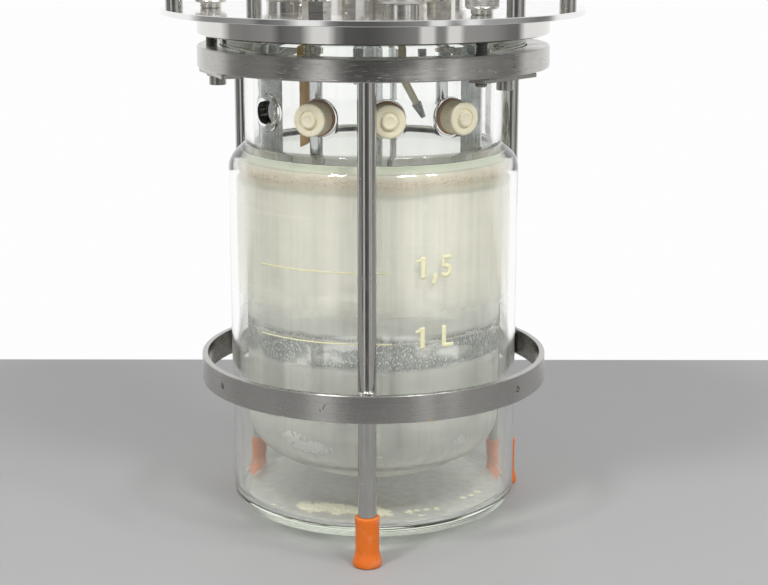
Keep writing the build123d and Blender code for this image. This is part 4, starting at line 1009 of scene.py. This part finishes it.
# ---- Side plugs -------------------------------------------------------------------------------------------
def ribbed_plug():
    """Plug on the axis with its seat at z = 0: head with fine ribs, boss in a groove, and its stem.

    The head's radius is R - d (0.5 + 0.5 cos(n a)) sin(pi t)^(1/4), t running along its side.
    """
    back, front, radius, ribs, groove = 1.8, 11.9, 8.4, settings().plastics.ribs, 0.42
    head = rounded([(radius - 0.3, back), (radius, back), (radius, front), (0, front)], [0.5, 0.9], steps=5)
    side = np.linspace(0, 1, 14)[1:-1]
    flank = np.stack([np.full(12, radius), back + 0.6 + (front - back - 1.7) * side], 1)
    stem = [(0, -5.0), (5.6, -5.0), (5.93, -4.6), (5.93, back), (8.1, back)]
    face = [
        (7.0, front + 0.02), (5.6, front), (5.1, front - 0.1), (4.8, front - 0.55), (4.1, front - 0.6),
        (3.9, front - 0.4), (3.9, front + 0.55), (3.7, front + 0.95), (3.2, front + 1.15), (2.7, front + 1.2),
        (2.5, front + 1.08), (1.2, front + 1.06), (0, front + 1.06),
    ]
    lower, upper = head[:6], head[6:-1]
    profile = np.concatenate([stem, lower, flank, upper, face])
    profile = without_repeats(profile, 1e-3)
    grid = revolved(profile, np.arange(0, 360, 360 / (6 * ribs)))
    radii, heights = profile.T
    t = np.clip((heights - back - 0.3) / (front - back - 2.0), 0, 1)
    depth = groove * (radii > radius - 0.4) * np.sin(math.pi * t) ** 0.25
    a = np.linspace(0, 2 * math.pi, grid.shape[1], endpoint=False)
    shrink = 1 - depth[:, None] * (0.5 + 0.5 * np.cos(ribs * a))[None, :] / np.maximum(radii, 1)[:, None]
    grid[..., :2] *= shrink[..., None]
    return grid


def laid_outwards(grid, bearing, reach, height):
    """Lays an upright grid along a bearing, its own foot at a reach from the axis.

    A point (x, y, z) goes to z along the bearing, x across it and y up, which keeps its faces outwards.
    """
    b = math.radians(bearing)
    x, y, z = grid[..., 0], grid[..., 1], grid[..., 2] + reach
    return np.stack([z * math.sin(b) + x * math.cos(b), -z * math.cos(b) + x * math.sin(b), height + y], 2)


def moulded_cream(name):
    """Moulded plastic, greyed in cloudy patches of dirt, with a fine satin grain."""
    finish = silicone(name, settings().plastics.plug, (0.38, 0.52), 0.8, 0.5)
    soil = finish.noise(3.0, detail=5.0)
    dirt = finish.span(soil, 0.55, 0.75, 0.0, 0.25)
    finish.set(base_color=finish.mix(dirt, finish.tone(), (0.45, 0.38, 0.24)))
    return finish.material


class BIOREACTOR_OT_side_plugs(bpy.types.Operator):
    """Adds the ribbed plugs in the side ports and finishes their washers"""

    bl_idname = "bioreactor.side_plugs"
    bl_label = "Side Plugs"

    def execute(self, context):
        cream = moulded_cream("moulded_cream")
        for number, bearing in enumerate(PLUGGED, 1):
            grid = laid_outwards(ribbed_plug(), bearing, PORT_FACE, PORT_Z)
            mesh = mesh_of(f"ribbed_plug_{number}", [(grid, True)], sharp=40.0, closed=True)
            node = f"side_plug_{number}"
            show(f"ribbed_plug_{number}", mesh, node, cream, (node,))
        washer = silicone("washer_rubber", settings().plastics.washer, (0.5, 0.7), 0.6)
        finish_nodes(washer.material, "plug_washers")
        return {"FINISHED"}


# ---- Clamp nuts -------------------------------------------------------------------------------------------
def knurled_nut(low, high):
    """Round nut on the axis with a plain collar and a diamond knurl.

    On the knurl the radius is R - d + d max(u, v), u and v being triangle waves of n a + k z and n a - k z.
    """
    n, depth = 46, 0.30
    collar_top, radius, bore = low + 2.7, 8.5, 3.1
    body = np.linspace(collar_top + 1.5, high - 1.5, 50)
    profile = np.array(
        [(bore, low), (5.2, low), (5.6, low + 0.4), (5.6, collar_top - 0.4), (5.9, collar_top)]
        + [(7.4, collar_top), (8.1, collar_top + 0.6), (8.3, collar_top + 1.2)]
        + [(radius, z) for z in body]
        + [(8.3, high - 1.2), (8.1, high - 0.6), (7.4, high), (4.4, high), (4.2, high - 0.1), (3.6, high - 0.1)]
        + [(3.4, high), (bore, high - 0.3), (bore, low)]
    )
    bearings = np.arange(0, 360, 360 / (n * 8))
    grid = revolved(profile, bearings)
    a = np.radians(bearings)[None, :] * n
    z = profile[:, 1][:, None] * (n / radius) * 0.62
    u, v = (np.abs(((a + sign * z) / (2 * math.pi)) % 1.0 * 2 - 1) for sign in (1, -1))
    on = (profile[:, 0] == radius)[:, None]
    shrink = 1 - on * depth * (1 - np.maximum(u, v)) / radius
    grid[..., :2] *= shrink[..., None]
    return grid


class BIOREACTOR_OT_clamp_nuts(bpy.types.Operator):
    """Adds the knurled nuts that clamp the lid"""

    bl_idname = "bioreactor.clamp_nuts"
    bl_label = "Clamp Nuts"

    def execute(self, context):
        finish = steel("knurled_bright_steel", settings().metals.fitting, (0.24, 0.36), turned_upright(0.3, 4), 0.004)
        for number in (1, 2, 3):
            node = f"clamp_nut_{number}"
            low, high = node_box(node)
            centre = middle_of(node) * (1, 1, 0)
            mesh = mesh_of(f"knurled_nut_{number}", [(knurled_nut(low[2], high[2]) + centre, True)], sharp=30.0)
            show(f"knurled_nut_{number}", mesh, node, finish.material, (node,))
        return {"FINISHED"}


# ---- Hoses ------------------------------------------------------------------------------------------------
def hose_grid(path, across, outer, inner, slant=0.0):
    """Closed wall of a hose along a path: out along the outside, round the cut end and back along the bore.

    The outside swells and thins by a few hundredths, as an aged hose does, and slant cuts its end aslant.
    """
    path = np.asarray(path, float)
    s = np.linspace(0, 1, len(path))[:, None]
    a = np.linspace(0, 2 * math.pi, 32, endpoint=False)[None, :]
    swell = outer * (1 + 0.018 * np.sin(9 * s + 1.3) + 0.012 * np.sin(2 * a + 4 * s))
    outside = along(path, across, swell)
    inside = along(path, across, np.full(swell.shape, inner))
    if slant:
        drop = slant * np.clip((s - 0.8) / 0.2, 0, 1) * (0.5 + 0.5 * np.cos(a))
        outside[..., 2] += drop
        inside[..., 2] += drop
    return np.concatenate([outside, inside[::-1], outside[:1]])


class BIOREACTOR_OT_hoses(bpy.types.Operator):
    """Adds the amber addition hose and the cream antifoam hose with its nozzle"""

    bl_idname = "bioreactor.hoses"
    bl_label = "Hoses"

    def execute(self, context):
        low, high = node_box("addition_hose")
        centre = middle_of("addition_hose")
        t = np.linspace(0, 1, 60)
        path = np.stack([centre[0] + 0 * t, centre[1] + 0 * t, high[2] + (low[2] - high[2]) * t], 1)
        grid = hose_grid(path, (0, 1, 0), 2.7, 1.65, slant=2.6)
        amber = silicone("aged_amber_silicone", settings().plastics.amber, (0.3, 0.5), 2.0)
        mesh = mesh_of("amber_hose", [(grid, True)], sharp=50.0)
        show("amber_hose", mesh, "lid", amber.material, ("addition_hose",))

        cream = silicone("cream_silicone", settings().plastics.cream, (0.4, 0.6), 1.2)
        grid = hose_grid(self.cream_path(), (0, 1, 0.2), 1.86, 1.06)
        mesh = mesh_of("cream_hose", [(grid, True)], sharp=50.0)
        show("cream_hose", mesh, "lid", cream.material, ("antifoam_hose",))
        nozzle = steel("dark_nozzle_steel", toned(settings().metals.wet, 0.55), (0.2, 0.4), drawn(0.5, 3), 0.01)
        finish_nodes(nozzle.material, "antifoam_nozzle")
        return {"FINISHED"}

    @staticmethod
    def cream_path():
        """Straight down from the front port, a quadratic bend about the corner, then straight outwards."""
        drop, swing, fall, bearing = 14.0, 8.0, 15.0, math.radians(16.5)
        _, high = node_box("antifoam_hose")
        top = np.array([*middle_of("front_port_body")[:2], high[2]])
        outwards = np.array([math.cos(bearing), math.sin(bearing), 0.0])
        corner = top - (0, 0, drop)
        end = corner + outwards * swing - (0, 0, fall)
        early, late = corner + (0, 0, 5.0), corner + (end - corner) * 0.3
        s = np.linspace(0, 1, 40)[:, None]
        straight = top + (early - top) * np.linspace(0, 1, 12)[:-1, None]
        bend = (1 - s) ** 2 * early + 2 * s * (1 - s) * corner + s**2 * late
        falling = late + (end - late) * np.linspace(0, 1, 16)[1:, None]
        return np.concatenate([straight, bend, falling])


# ---- Feet -------------------------------------------------------------------------------------------------
def foot_sleeve():
    """Foot sleeve on the axis: rolled mouth, slightly waisted body, flared base, and two mould lines.

    The radius gets 0.12 more within 3 degrees of the two mould lines: 0.12 exp(-(d / 3)^2).
    """
    tall, bore, sole = 27.0, 4.85, 4.1
    outside = rounded(
        [(0, 0), (7.5, 0), (7.5, 2.7), (6.25, 7.6), (6.2, 22.0), (6.45, 25.2), (6.3, tall), (bore, tall)],
        [1.2, 2.2, 7.0, 8.0, 1.4, 0.5],
        steps=7,
    )
    profile = np.concatenate([outside, [(bore, sole), (0, sole)]])
    bearings = np.arange(0, 360, 3.0)
    grid = revolved(profile, bearings)
    off = np.abs((bearings[:, None] - np.array([70.0, 250.0]) + 180) % 360 - 180).min(1)
    line = 0.12 * np.exp(-((off / 3) ** 2))[None, :] * (profile[:, 0] > 5.5)[:, None]
    grid[..., :2] *= (1 + line / np.maximum(profile[:, 0], 1)[:, None])[..., None]
    return grid


class BIOREACTOR_OT_feet(bpy.types.Operator):
    """Adds the silicone sleeves on the feet of the legs"""

    bl_idname = "bioreactor.feet"
    bl_label = "Feet"

    def execute(self, context):
        orange = silicone("orange_silicone", settings().plastics.foot, (0.42, 0.6), 2.5)
        sleeve = foot_sleeve()
        grids = [(sleeve + middle_of(f"leg_{number}") * (1, 1, 0), True) for number in (1, 2, 3)]
        mesh = mesh_of("foot_sleeves", grids, sharp=50.0, closed=True)
        show("foot_sleeves", mesh, "stand", orange.material, ("feet",))
        return {"FINISHED"}


# ---- Stand ------------------------------------------------------------------------------------------------
def weld_bead(seed):
    """Bead on the axis, lying across: an ellipsoid with ripples, r = 1 + 0.09 sin(9 x + p) + 0.07 sin(5 y + q)."""
    half_long, half_thick, half_tall = 4.4, 2.0, 2.3
    u = np.linspace(0, math.pi, 18)[:, None]
    v = np.linspace(0, 2 * math.pi, 36, endpoint=False)[None, :]
    x, y, z = np.cos(u) + 0 * v, np.sin(u) * np.cos(v), np.sin(u) * np.sin(v)
    p, q = np.random.default_rng(seed).uniform(0, 6, 2)
    ripple = 1 + 0.09 * np.sin(9 * x + p) + 0.07 * np.sin(5 * y + q)
    return np.stack([half_long * x * ripple, half_thick * y * ripple, half_tall * z * ripple], 2)[:, ::-1]


def bearing_of(node):
    centre = middle_of(node)
    return math.degrees(math.atan2(centre[0], -centre[1]))


class BIOREACTOR_OT_stand(bpy.types.Operator):
    """Finishes the rings, legs, studs and bars of the stand and adds the weld beads"""

    bl_idname = "bioreactor.stand"
    bl_label = "Stand"

    def execute(self, context):
        metals = settings().metals
        ring = steel("scratched_ring_steel", metals.ring, (0.20, 0.34), lathe(0.35, 26), 0.012, 0.10, 0.25, 0.6)
        nicks = ring.span(ring.noise(0.5, stretch=(14, 14, 1), detail=1.0), 0.66, 0.72)
        brushed_round(ring.relief(nicks, 0.05), 0.85)
        finish_nodes(ring.material, "flange_ring")

        band = steel("brushed_band_steel", metals.band, (0.20, 0.28), lathe(0.22, 40), 0.006, 0.06, 0.16, 0.2)
        self.cut_marks(brushed_round(band, 0.85))
        finish_nodes(band.material, "holding_ring")

        rods = steel("polished_rod_steel", metals.rod, (0.04, 0.16), drawn(0.35, 9), 0.004, 0.12, 0.3, 0.9)
        finish_nodes(rods.material, "leg_1", "leg_2", "leg_3")

        thread = steel("threaded_stud_steel", toned(metals.rod, 0.8), (0.2, 0.35), turned_upright(0.3, 6), 0.01)
        _, _, z = thread.parts()
        turns = thread.math("SINE", thread.times(z, 2 * math.pi / (1.0 * MM)))
        finish_nodes(thread.relief(turns, 0.3).material, "clamp_studs")
        small = steel("small_parts_steel", toned(metals.ring, 0.95), (0.2, 0.4), lathe(0.4, 6), 0.01, 0.1, 0.1, 0.4)
        finish_nodes(small.material, "stud_bars", "bar_screws", "baffle_nuts", "hub_screws", "handle_screws")

        bead = steel("bright_weld", toned(metals.rod, 1.2), (0.12, 0.3), lathe(0.8, 2), 0.08)
        beyond_leg, sunk = 4.3, 0.2
        grids = []
        for number in (1, 2, 3):
            b = bearing_of(f"leg_{number}")
            reach = np.linalg.norm(middle_of(f"leg_{number}")[:2]) + beyond_leg
            c, s = math.cos(math.radians(b)), math.sin(math.radians(b))
            x, y, z = np.moveaxis(weld_bead(number), 2, 0)
            y = y - reach
            grids.append((np.stack([x * c - y * s, x * s + y * c, z + BAND_TOP - sunk], 2), True))
        mesh = mesh_of("weld_beads", grids, sharp=60.0)
        show("weld_beads", mesh, "stand", bead.material)
        return {"FINISHED"}

    @staticmethod
    def cut_marks(band):
        """V-shaped scratch and a small yellow spot on the front of the band."""
        for bearing, height, lean, half in ((-15.0, 87.2, -24.0, 1.9), (-16.2, 85.0, 22.0, 0.7)):
            near = band.moved(at_bearing(BAND_FACE_R, bearing, height), bearing)
            near = band.node("ShaderNodeMapping", {0: near, 2: (0, math.radians(lean), 0)}).outputs[0]
            x, y, z = band.node("ShaderNodeSeparateXYZ", {0: near}).outputs
            wide = band.span(band.math("ABSOLUTE", x), 0.12 * MM, 0.26 * MM, 1.0, 0.0)
            tall = band.span(band.math("ABSOLUTE", z), (half - 0.3) * MM, (half + 0.2) * MM, 1.0, 0.0)
            line = band.times(wide, tall, band.math("LESS_THAN", y, 3 * MM))
            band.set(base_color=band.mix(line, band.tone(), (0.06, 0.06, 0.06)))
        far = band.distance(band.moved(at_bearing(BAND_FACE_R, 18.4, 80.0)))
        spot = band.span(far, 0.5 * MM, 0.8 * MM, 1.0, 0.0)
        band.set(base_color=band.mix(spot, band.tone(), (0.75, 0.5, 0.06)))


# ---- Lid and fittings -------------------------------------------------------------------------------------
class BIOREACTOR_OT_lid(bpy.types.Operator):
    """Finishes the lid plate, the top disc, the handles and the seals"""

    bl_idname = "bioreactor.lid"
    bl_label = "Lid"

    def execute(self, context):
        metals = settings().metals
        plate = steel("turned_lid_steel", metals.lid, (0.02, 0.045), lathe(0.5, 80), 0.001, 0.03, 0.05)
        wave = plate.noise(7.0, stretch=(1, 1, 8), detail=2.0)
        finish_nodes(plate.relief(wave, 0.02).material, "lid_plate")
        disc = steel("mirror_disc_steel", metals.mirror, (0.03, 0.12), lathe(0.25, 90), 0.0015, 0.1, 0.04, 0.15)
        finish_nodes(disc.material, "top_disc")
        handle = steel("polished_handle_steel", metals.rod, (0.08, 0.2), drawn(0.5, 12), 0.004, 0.1, 0.08, 0.2)
        finish_nodes(handle.material, "handle_1", "handle_2")
        seal = silicone("seal_rubber", settings().plastics.seal, (0.45, 0.65), 1.0)
        finish_nodes(seal.material, "lid_seal", "vessel_seat", "shaft_seal")
        return {"FINISHED"}


class BIOREACTOR_OT_fittings(bpy.types.Operator):
    """Finishes the lid ports, their caps, the glands and the nipple"""

    bl_idname = "bioreactor.fittings"
    bl_label = "Fittings"

    def execute(self, context):
        metals = settings().metals
        caps = steel("satin_cap_steel", metals.cap, (0.24, 0.36), turned_upright(0.3, 14), 0.008, 0.06, 0.06, 0.2)
        finish_nodes(caps.material, "left_port_cap", "front_port_cap", "rear_port_cap")
        bright = steel("bright_turned_steel", metals.fitting, (0.08, 0.22), turned_upright(0.4, 10), 0.006, 0.06)
        finish_nodes(
            bright.material,
            *(f"{side}_port_body" for side in ("left", "front", "rear")),
            *(f"{name}_gland_nut" for name in ("harvest", "vent", "inoculation", "thermowell")),
            "gland_bodies",
            "addition_nipple",
        )
        return {"FINISHED"}


class BIOREACTOR_OT_wetted_parts(bpy.types.Operator):
    """Finishes the tubes, baffles, shaft and impellers inside the vessel"""

    bl_idname = "bioreactor.wetted_parts"
    bl_label = "Wetted Parts"

    def execute(self, context):
        wet = settings().metals.wet
        tubes = steel("dulled_tube_steel", wet, (0.10, 0.24), drawn(0.5, 20), 0.004, 0.14, 0.12, 0.5)
        finish_nodes(tubes.material, *(f"{n}_tube" for n in ("harvest", "vent", "inoculation", "thermowell")))
        strips = steel("dulled_strip_steel", wet, (0.12, 0.28), drawn(0.8, 60), 0.012, 0.16, 0.14, 0.5)
        finish_nodes(strips.material, "baffle_1", "baffle_2", "baffle_3", "stirrer_shaft")
        blades = steel("dulled_blade_steel", toned(wet, 0.85), (0.2, 0.4), turned_upright(0.5, 12), 0.008, 0.2)
        finish_nodes(blades.material, "upper_impeller", "lower_impeller")
        return {"FINISHED"}


class BIOREACTOR_OT_drive(bpy.types.Operator):
    """Finishes the hub, its cover and bearings, and the drive coupling"""

    bl_idname = "bioreactor.drive"
    bl_label = "Drive"

    def execute(self, context):
        metals = settings().metals
        hub = steel("turned_hub_steel", metals.fitting, (0.14, 0.26), lathe(0.4, 40), 0.006, 0.08, 0.06, 0.2)
        finish_nodes(hub.material, "drive_hub", "hub_cover")
        race = steel("ground_bearing_steel", metals.lid, (0.1, 0.16), lathe(0.3, 60), 0.003)
        finish_nodes(race.material, "hub_bearings")
        black = Finish("black_polymer", ior=1.5)
        tool = black.lathe_lines(0.35, 30)
        tone = settings().plastics.coupling
        worn = black.span(black.noise(4.0, detail=4.0), 0.55, 0.75, 0.0, 0.5)
        black.set(
            base_color=black.mix(worn, black.mix(tool, tone, toned(tone, 1.8)), (0.09, 0.09, 0.09)),
            roughness=black.span(tool, 0.3, 0.7, 0.42, 0.58),
        )
        finish_nodes(black.relief(tool, 0.03).material, "drive_coupling")
        return {"FINISHED"}


# ---- Studio -----------------------------------------------------------------------------------------------
# Brightness of the room's wall as steel sees it: bearing and level.
ROOM = (
    (-180, 1.0), (-114, 1.0), (-103, 0.30), (-88, 0.26), (-67, 0.32), (-61, 0.14), (-46, 0.24), (-38, 0.9),
    (-28, 0.9), (-23, 0.28), (-17, 0.12), (-3, 0.10), (6, 0.13), (20, 0.22), (28, 0.28), (31, 0.85), (38, 0.85),
    (41, 0.28), (46, 0.28), (49, 0.9), (56, 0.9), (60, 0.38), (80, 0.34), (97, 0.20), (106, 0.18), (114, 1.0),
    (180, 1.0),
)


def softbox(name, bearing, elevation, distance, size, power):
    """Rectangular lamp that points at the vessel from a bearing and an elevation."""
    lamp = bpy.data.lights.new(name, "AREA")
    lamp.shape, lamp.size, lamp.size_y, lamp.energy = "RECTANGLE", *size, power
    holder = bpy.data.objects.new(name, lamp)
    bpy.context.scene.collection.objects.link(holder)
    e = math.radians(elevation)
    away = np.array(at_bearing(math.cos(e), bearing, math.sin(e)))
    holder.location = away * distance + (0, 0, 0.17)
    holder.rotation_euler = Euler((math.pi / 2 - e, 0, math.radians(bearing)), "XYZ")
    return holder


class BIOREACTOR_OT_studio(bpy.types.Operator):
    """Adds the floor, the softboxes, the white room and the camera"""

    bl_idname = "bioreactor.studio"
    bl_label = "Studio"

    def execute(self, context):
        look = settings().studio
        self.floor(look)
        softbox("left_softbox", -36, 50, 1.5, (0.26, 0.22), look.key)
        softbox("right_softbox", 32, 48, 1.5, (0.3, 0.16), look.fill)
        softbox("side_softbox", 56, 44, 1.6, (0.18, 0.14), look.fill * 0.5)
        self.room(look)
        self.camera(look)
        context.scene.view_settings.view_transform = "Standard"
        light = context.scene.cycles
        light.glossy_bounces, light.transmission_bounces, light.max_bounces = 16, 24, 32
        return {"FINISHED"}

    @staticmethod
    def floor(look):
        side, front, back = 1.2, -0.38, 0.31
        corners = [(-side, front, 0), (side, front, 0), (side, back, 0), (-side, back, 0)]
        mesh = bpy.data.meshes.new("pale_floor")
        mesh.from_pydata(corners, [], [(0, 1, 2, 3)])
        finish = Finish("pale_floor", roughness=0.55, specular_ior_level=0.3)
        soft = finish.noise(160.0, detail=3.0)
        finish.set(base_color=finish.mix(soft, toned(look.floor, 0.97), toned(look.floor, 1.03)))
        mesh.materials.append(finish.material)
        floor = bpy.data.objects.new("pale_floor", mesh)
        bpy.context.scene.collection.objects.link(floor)

    @staticmethod
    def room(look):
        """White for the camera and through glass; steel sees a dim room with softboxes, and white behind."""
        world = bpy.data.worlds.new("white_room")
        bpy.context.scene.world = world
        world.use_nodes = True
        tree = world.node_tree
        tree.nodes.clear()

        def node(kind, values=(), **options):
            made = tree.nodes.new(kind)
            for name, value in options.items():
                setattr(made, name, value)
            for socket, value in dict(values).items():
                if isinstance(value, bpy.types.NodeSocket):
                    tree.links.new(value, made.inputs[socket])
                else:
                    made.inputs[socket].default_value = value
            return made

        x, y, z = node("ShaderNodeSeparateXYZ", {0: node("ShaderNodeTexCoord").outputs["Generated"]}).outputs
        back = node("ShaderNodeMath", {0: y, 1: -1.0}, operation="MULTIPLY").outputs[0]
        turn = node("ShaderNodeMath", {0: x, 1: back}, operation="ARCTAN2").outputs[0]
        turn = node("ShaderNodeMapRange", {0: turn, 1: -math.pi, 2: math.pi}).outputs[0]
        ramp = node("ShaderNodeValToRGB", {0: turn})
        for k, (bearing, level) in enumerate(ROOM):
            place = bearing / 360 + 0.5
            element = ramp.color_ramp.elements[k] if k < 2 else ramp.color_ramp.elements.new(place)
            element.position, element.color = place, (level, level, level, 1)
        up = node("ShaderNodeMapRange", {0: z, 1: 0.45, 2: 0.75}, interpolation_type="SMOOTHSTEP").outputs[0]
        walls = node("ShaderNodeMix", {0: up, 6: ramp.outputs[0], 7: (0.78, 0.78, 0.78, 1)}, data_type="RGBA")
        path = node("ShaderNodeLightPath").outputs
        lit = node("ShaderNodeBackground", {0: (1, 1, 1, 1), 1: look.ambient})
        mirror = node("ShaderNodeBackground", {0: walls.outputs[2], 1: 1.0})
        white = node("ShaderNodeBackground", {0: (0.985, 0.985, 0.99, 1), 1: 1.0})
        seen = node("ShaderNodeMath", {0: path["Is Camera Ray"], 1: path["Is Transmission Ray"]}, operation="MAXIMUM")
        glossy = node("ShaderNodeMixShader", {0: path["Is Glossy Ray"], 1: lit.outputs[0], 2: mirror.outputs[0]})
        final = node("ShaderNodeMixShader", {0: seen.outputs[0], 1: glossy.outputs[0], 2: white.outputs[0]})
        node("ShaderNodeOutputWorld", {0: final.outputs[0]})

    @staticmethod
    def camera(look):
        lens = bpy.data.cameras.new("front_view")
        lens.lens, lens.sensor_width, lens.clip_start = look.lens, 36.0, 0.02
        camera = bpy.data.objects.new("front_view", lens)
        bpy.context.scene.collection.objects.link(camera)
        camera.location = (5.766 * MM, -890.09 * MM, 334.43 * MM)
        pitch, roll = math.radians(90 - 13.24), 0.001
        tilt = Euler((pitch, 0, 0)).to_matrix() @ Euler((0, 0, roll)).to_matrix()
        camera.rotation_euler = tilt.to_euler()
        bpy.context.scene.camera = camera


# ---- Add-on -----------------------------------------------------------------------------------------------
OPERATORS = (
    BIOREACTOR_OT_studio,
    BIOREACTOR_OT_glass,
    BIOREACTOR_OT_limescale,
    BIOREACTOR_OT_marks,
    BIOREACTOR_OT_side_plugs,
    BIOREACTOR_OT_clamp_nuts,
    BIOREACTOR_OT_hoses,
    BIOREACTOR_OT_feet,
    BIOREACTOR_OT_stand,
    BIOREACTOR_OT_lid,
    BIOREACTOR_OT_fittings,
    BIOREACTOR_OT_wetted_parts,
    BIOREACTOR_OT_drive,
)


class BIOREACTOR_PT_panel(bpy.types.Panel):
    """Lists the pieces of the bioreactor and their settings"""

    bl_idname = "BIOREACTOR_PT_panel"
    bl_label = "Bench Bioreactor"
    bl_space_type = "VIEW_3D"
    bl_region_type = "UI"
    bl_category = "Bioreactor"

    def draw(self, context):
        layout = self.layout
        for operator in OPERATORS:
            layout.operator(operator.bl_idname)
        for name in ("glass", "scale", "marks", "metals", "plastics", "studio"):
            group = getattr(context.scene.bioreactor, name)
            box = layout.box()
            box.label(text=name.capitalize())
            for field in type(group).__annotations__:
                box.prop(group, field)


CLASSES = (
    GlassSettings,
    ScaleSettings,
    MarkSettings,
    MetalSettings,
    PlasticSettings,
    StudioSettings,
    BioreactorSettings,
    *OPERATORS,
    BIOREACTOR_PT_panel,
)


def register():
    for cls in CLASSES:
        bpy.utils.register_class(cls)
    bpy.types.Scene.bioreactor = PointerProperty(type=BioreactorSettings)


def unregister():
    del bpy.types.Scene.bioreactor
    for cls in reversed(CLASSES):
        bpy.utils.unregister_class(cls)


def main():
    register()
    for operator in OPERATORS:
        group, name = operator.bl_idname.split(".")
        getattr(getattr(bpy.ops, group), name)()


if __name__ == "__main__":
    main()
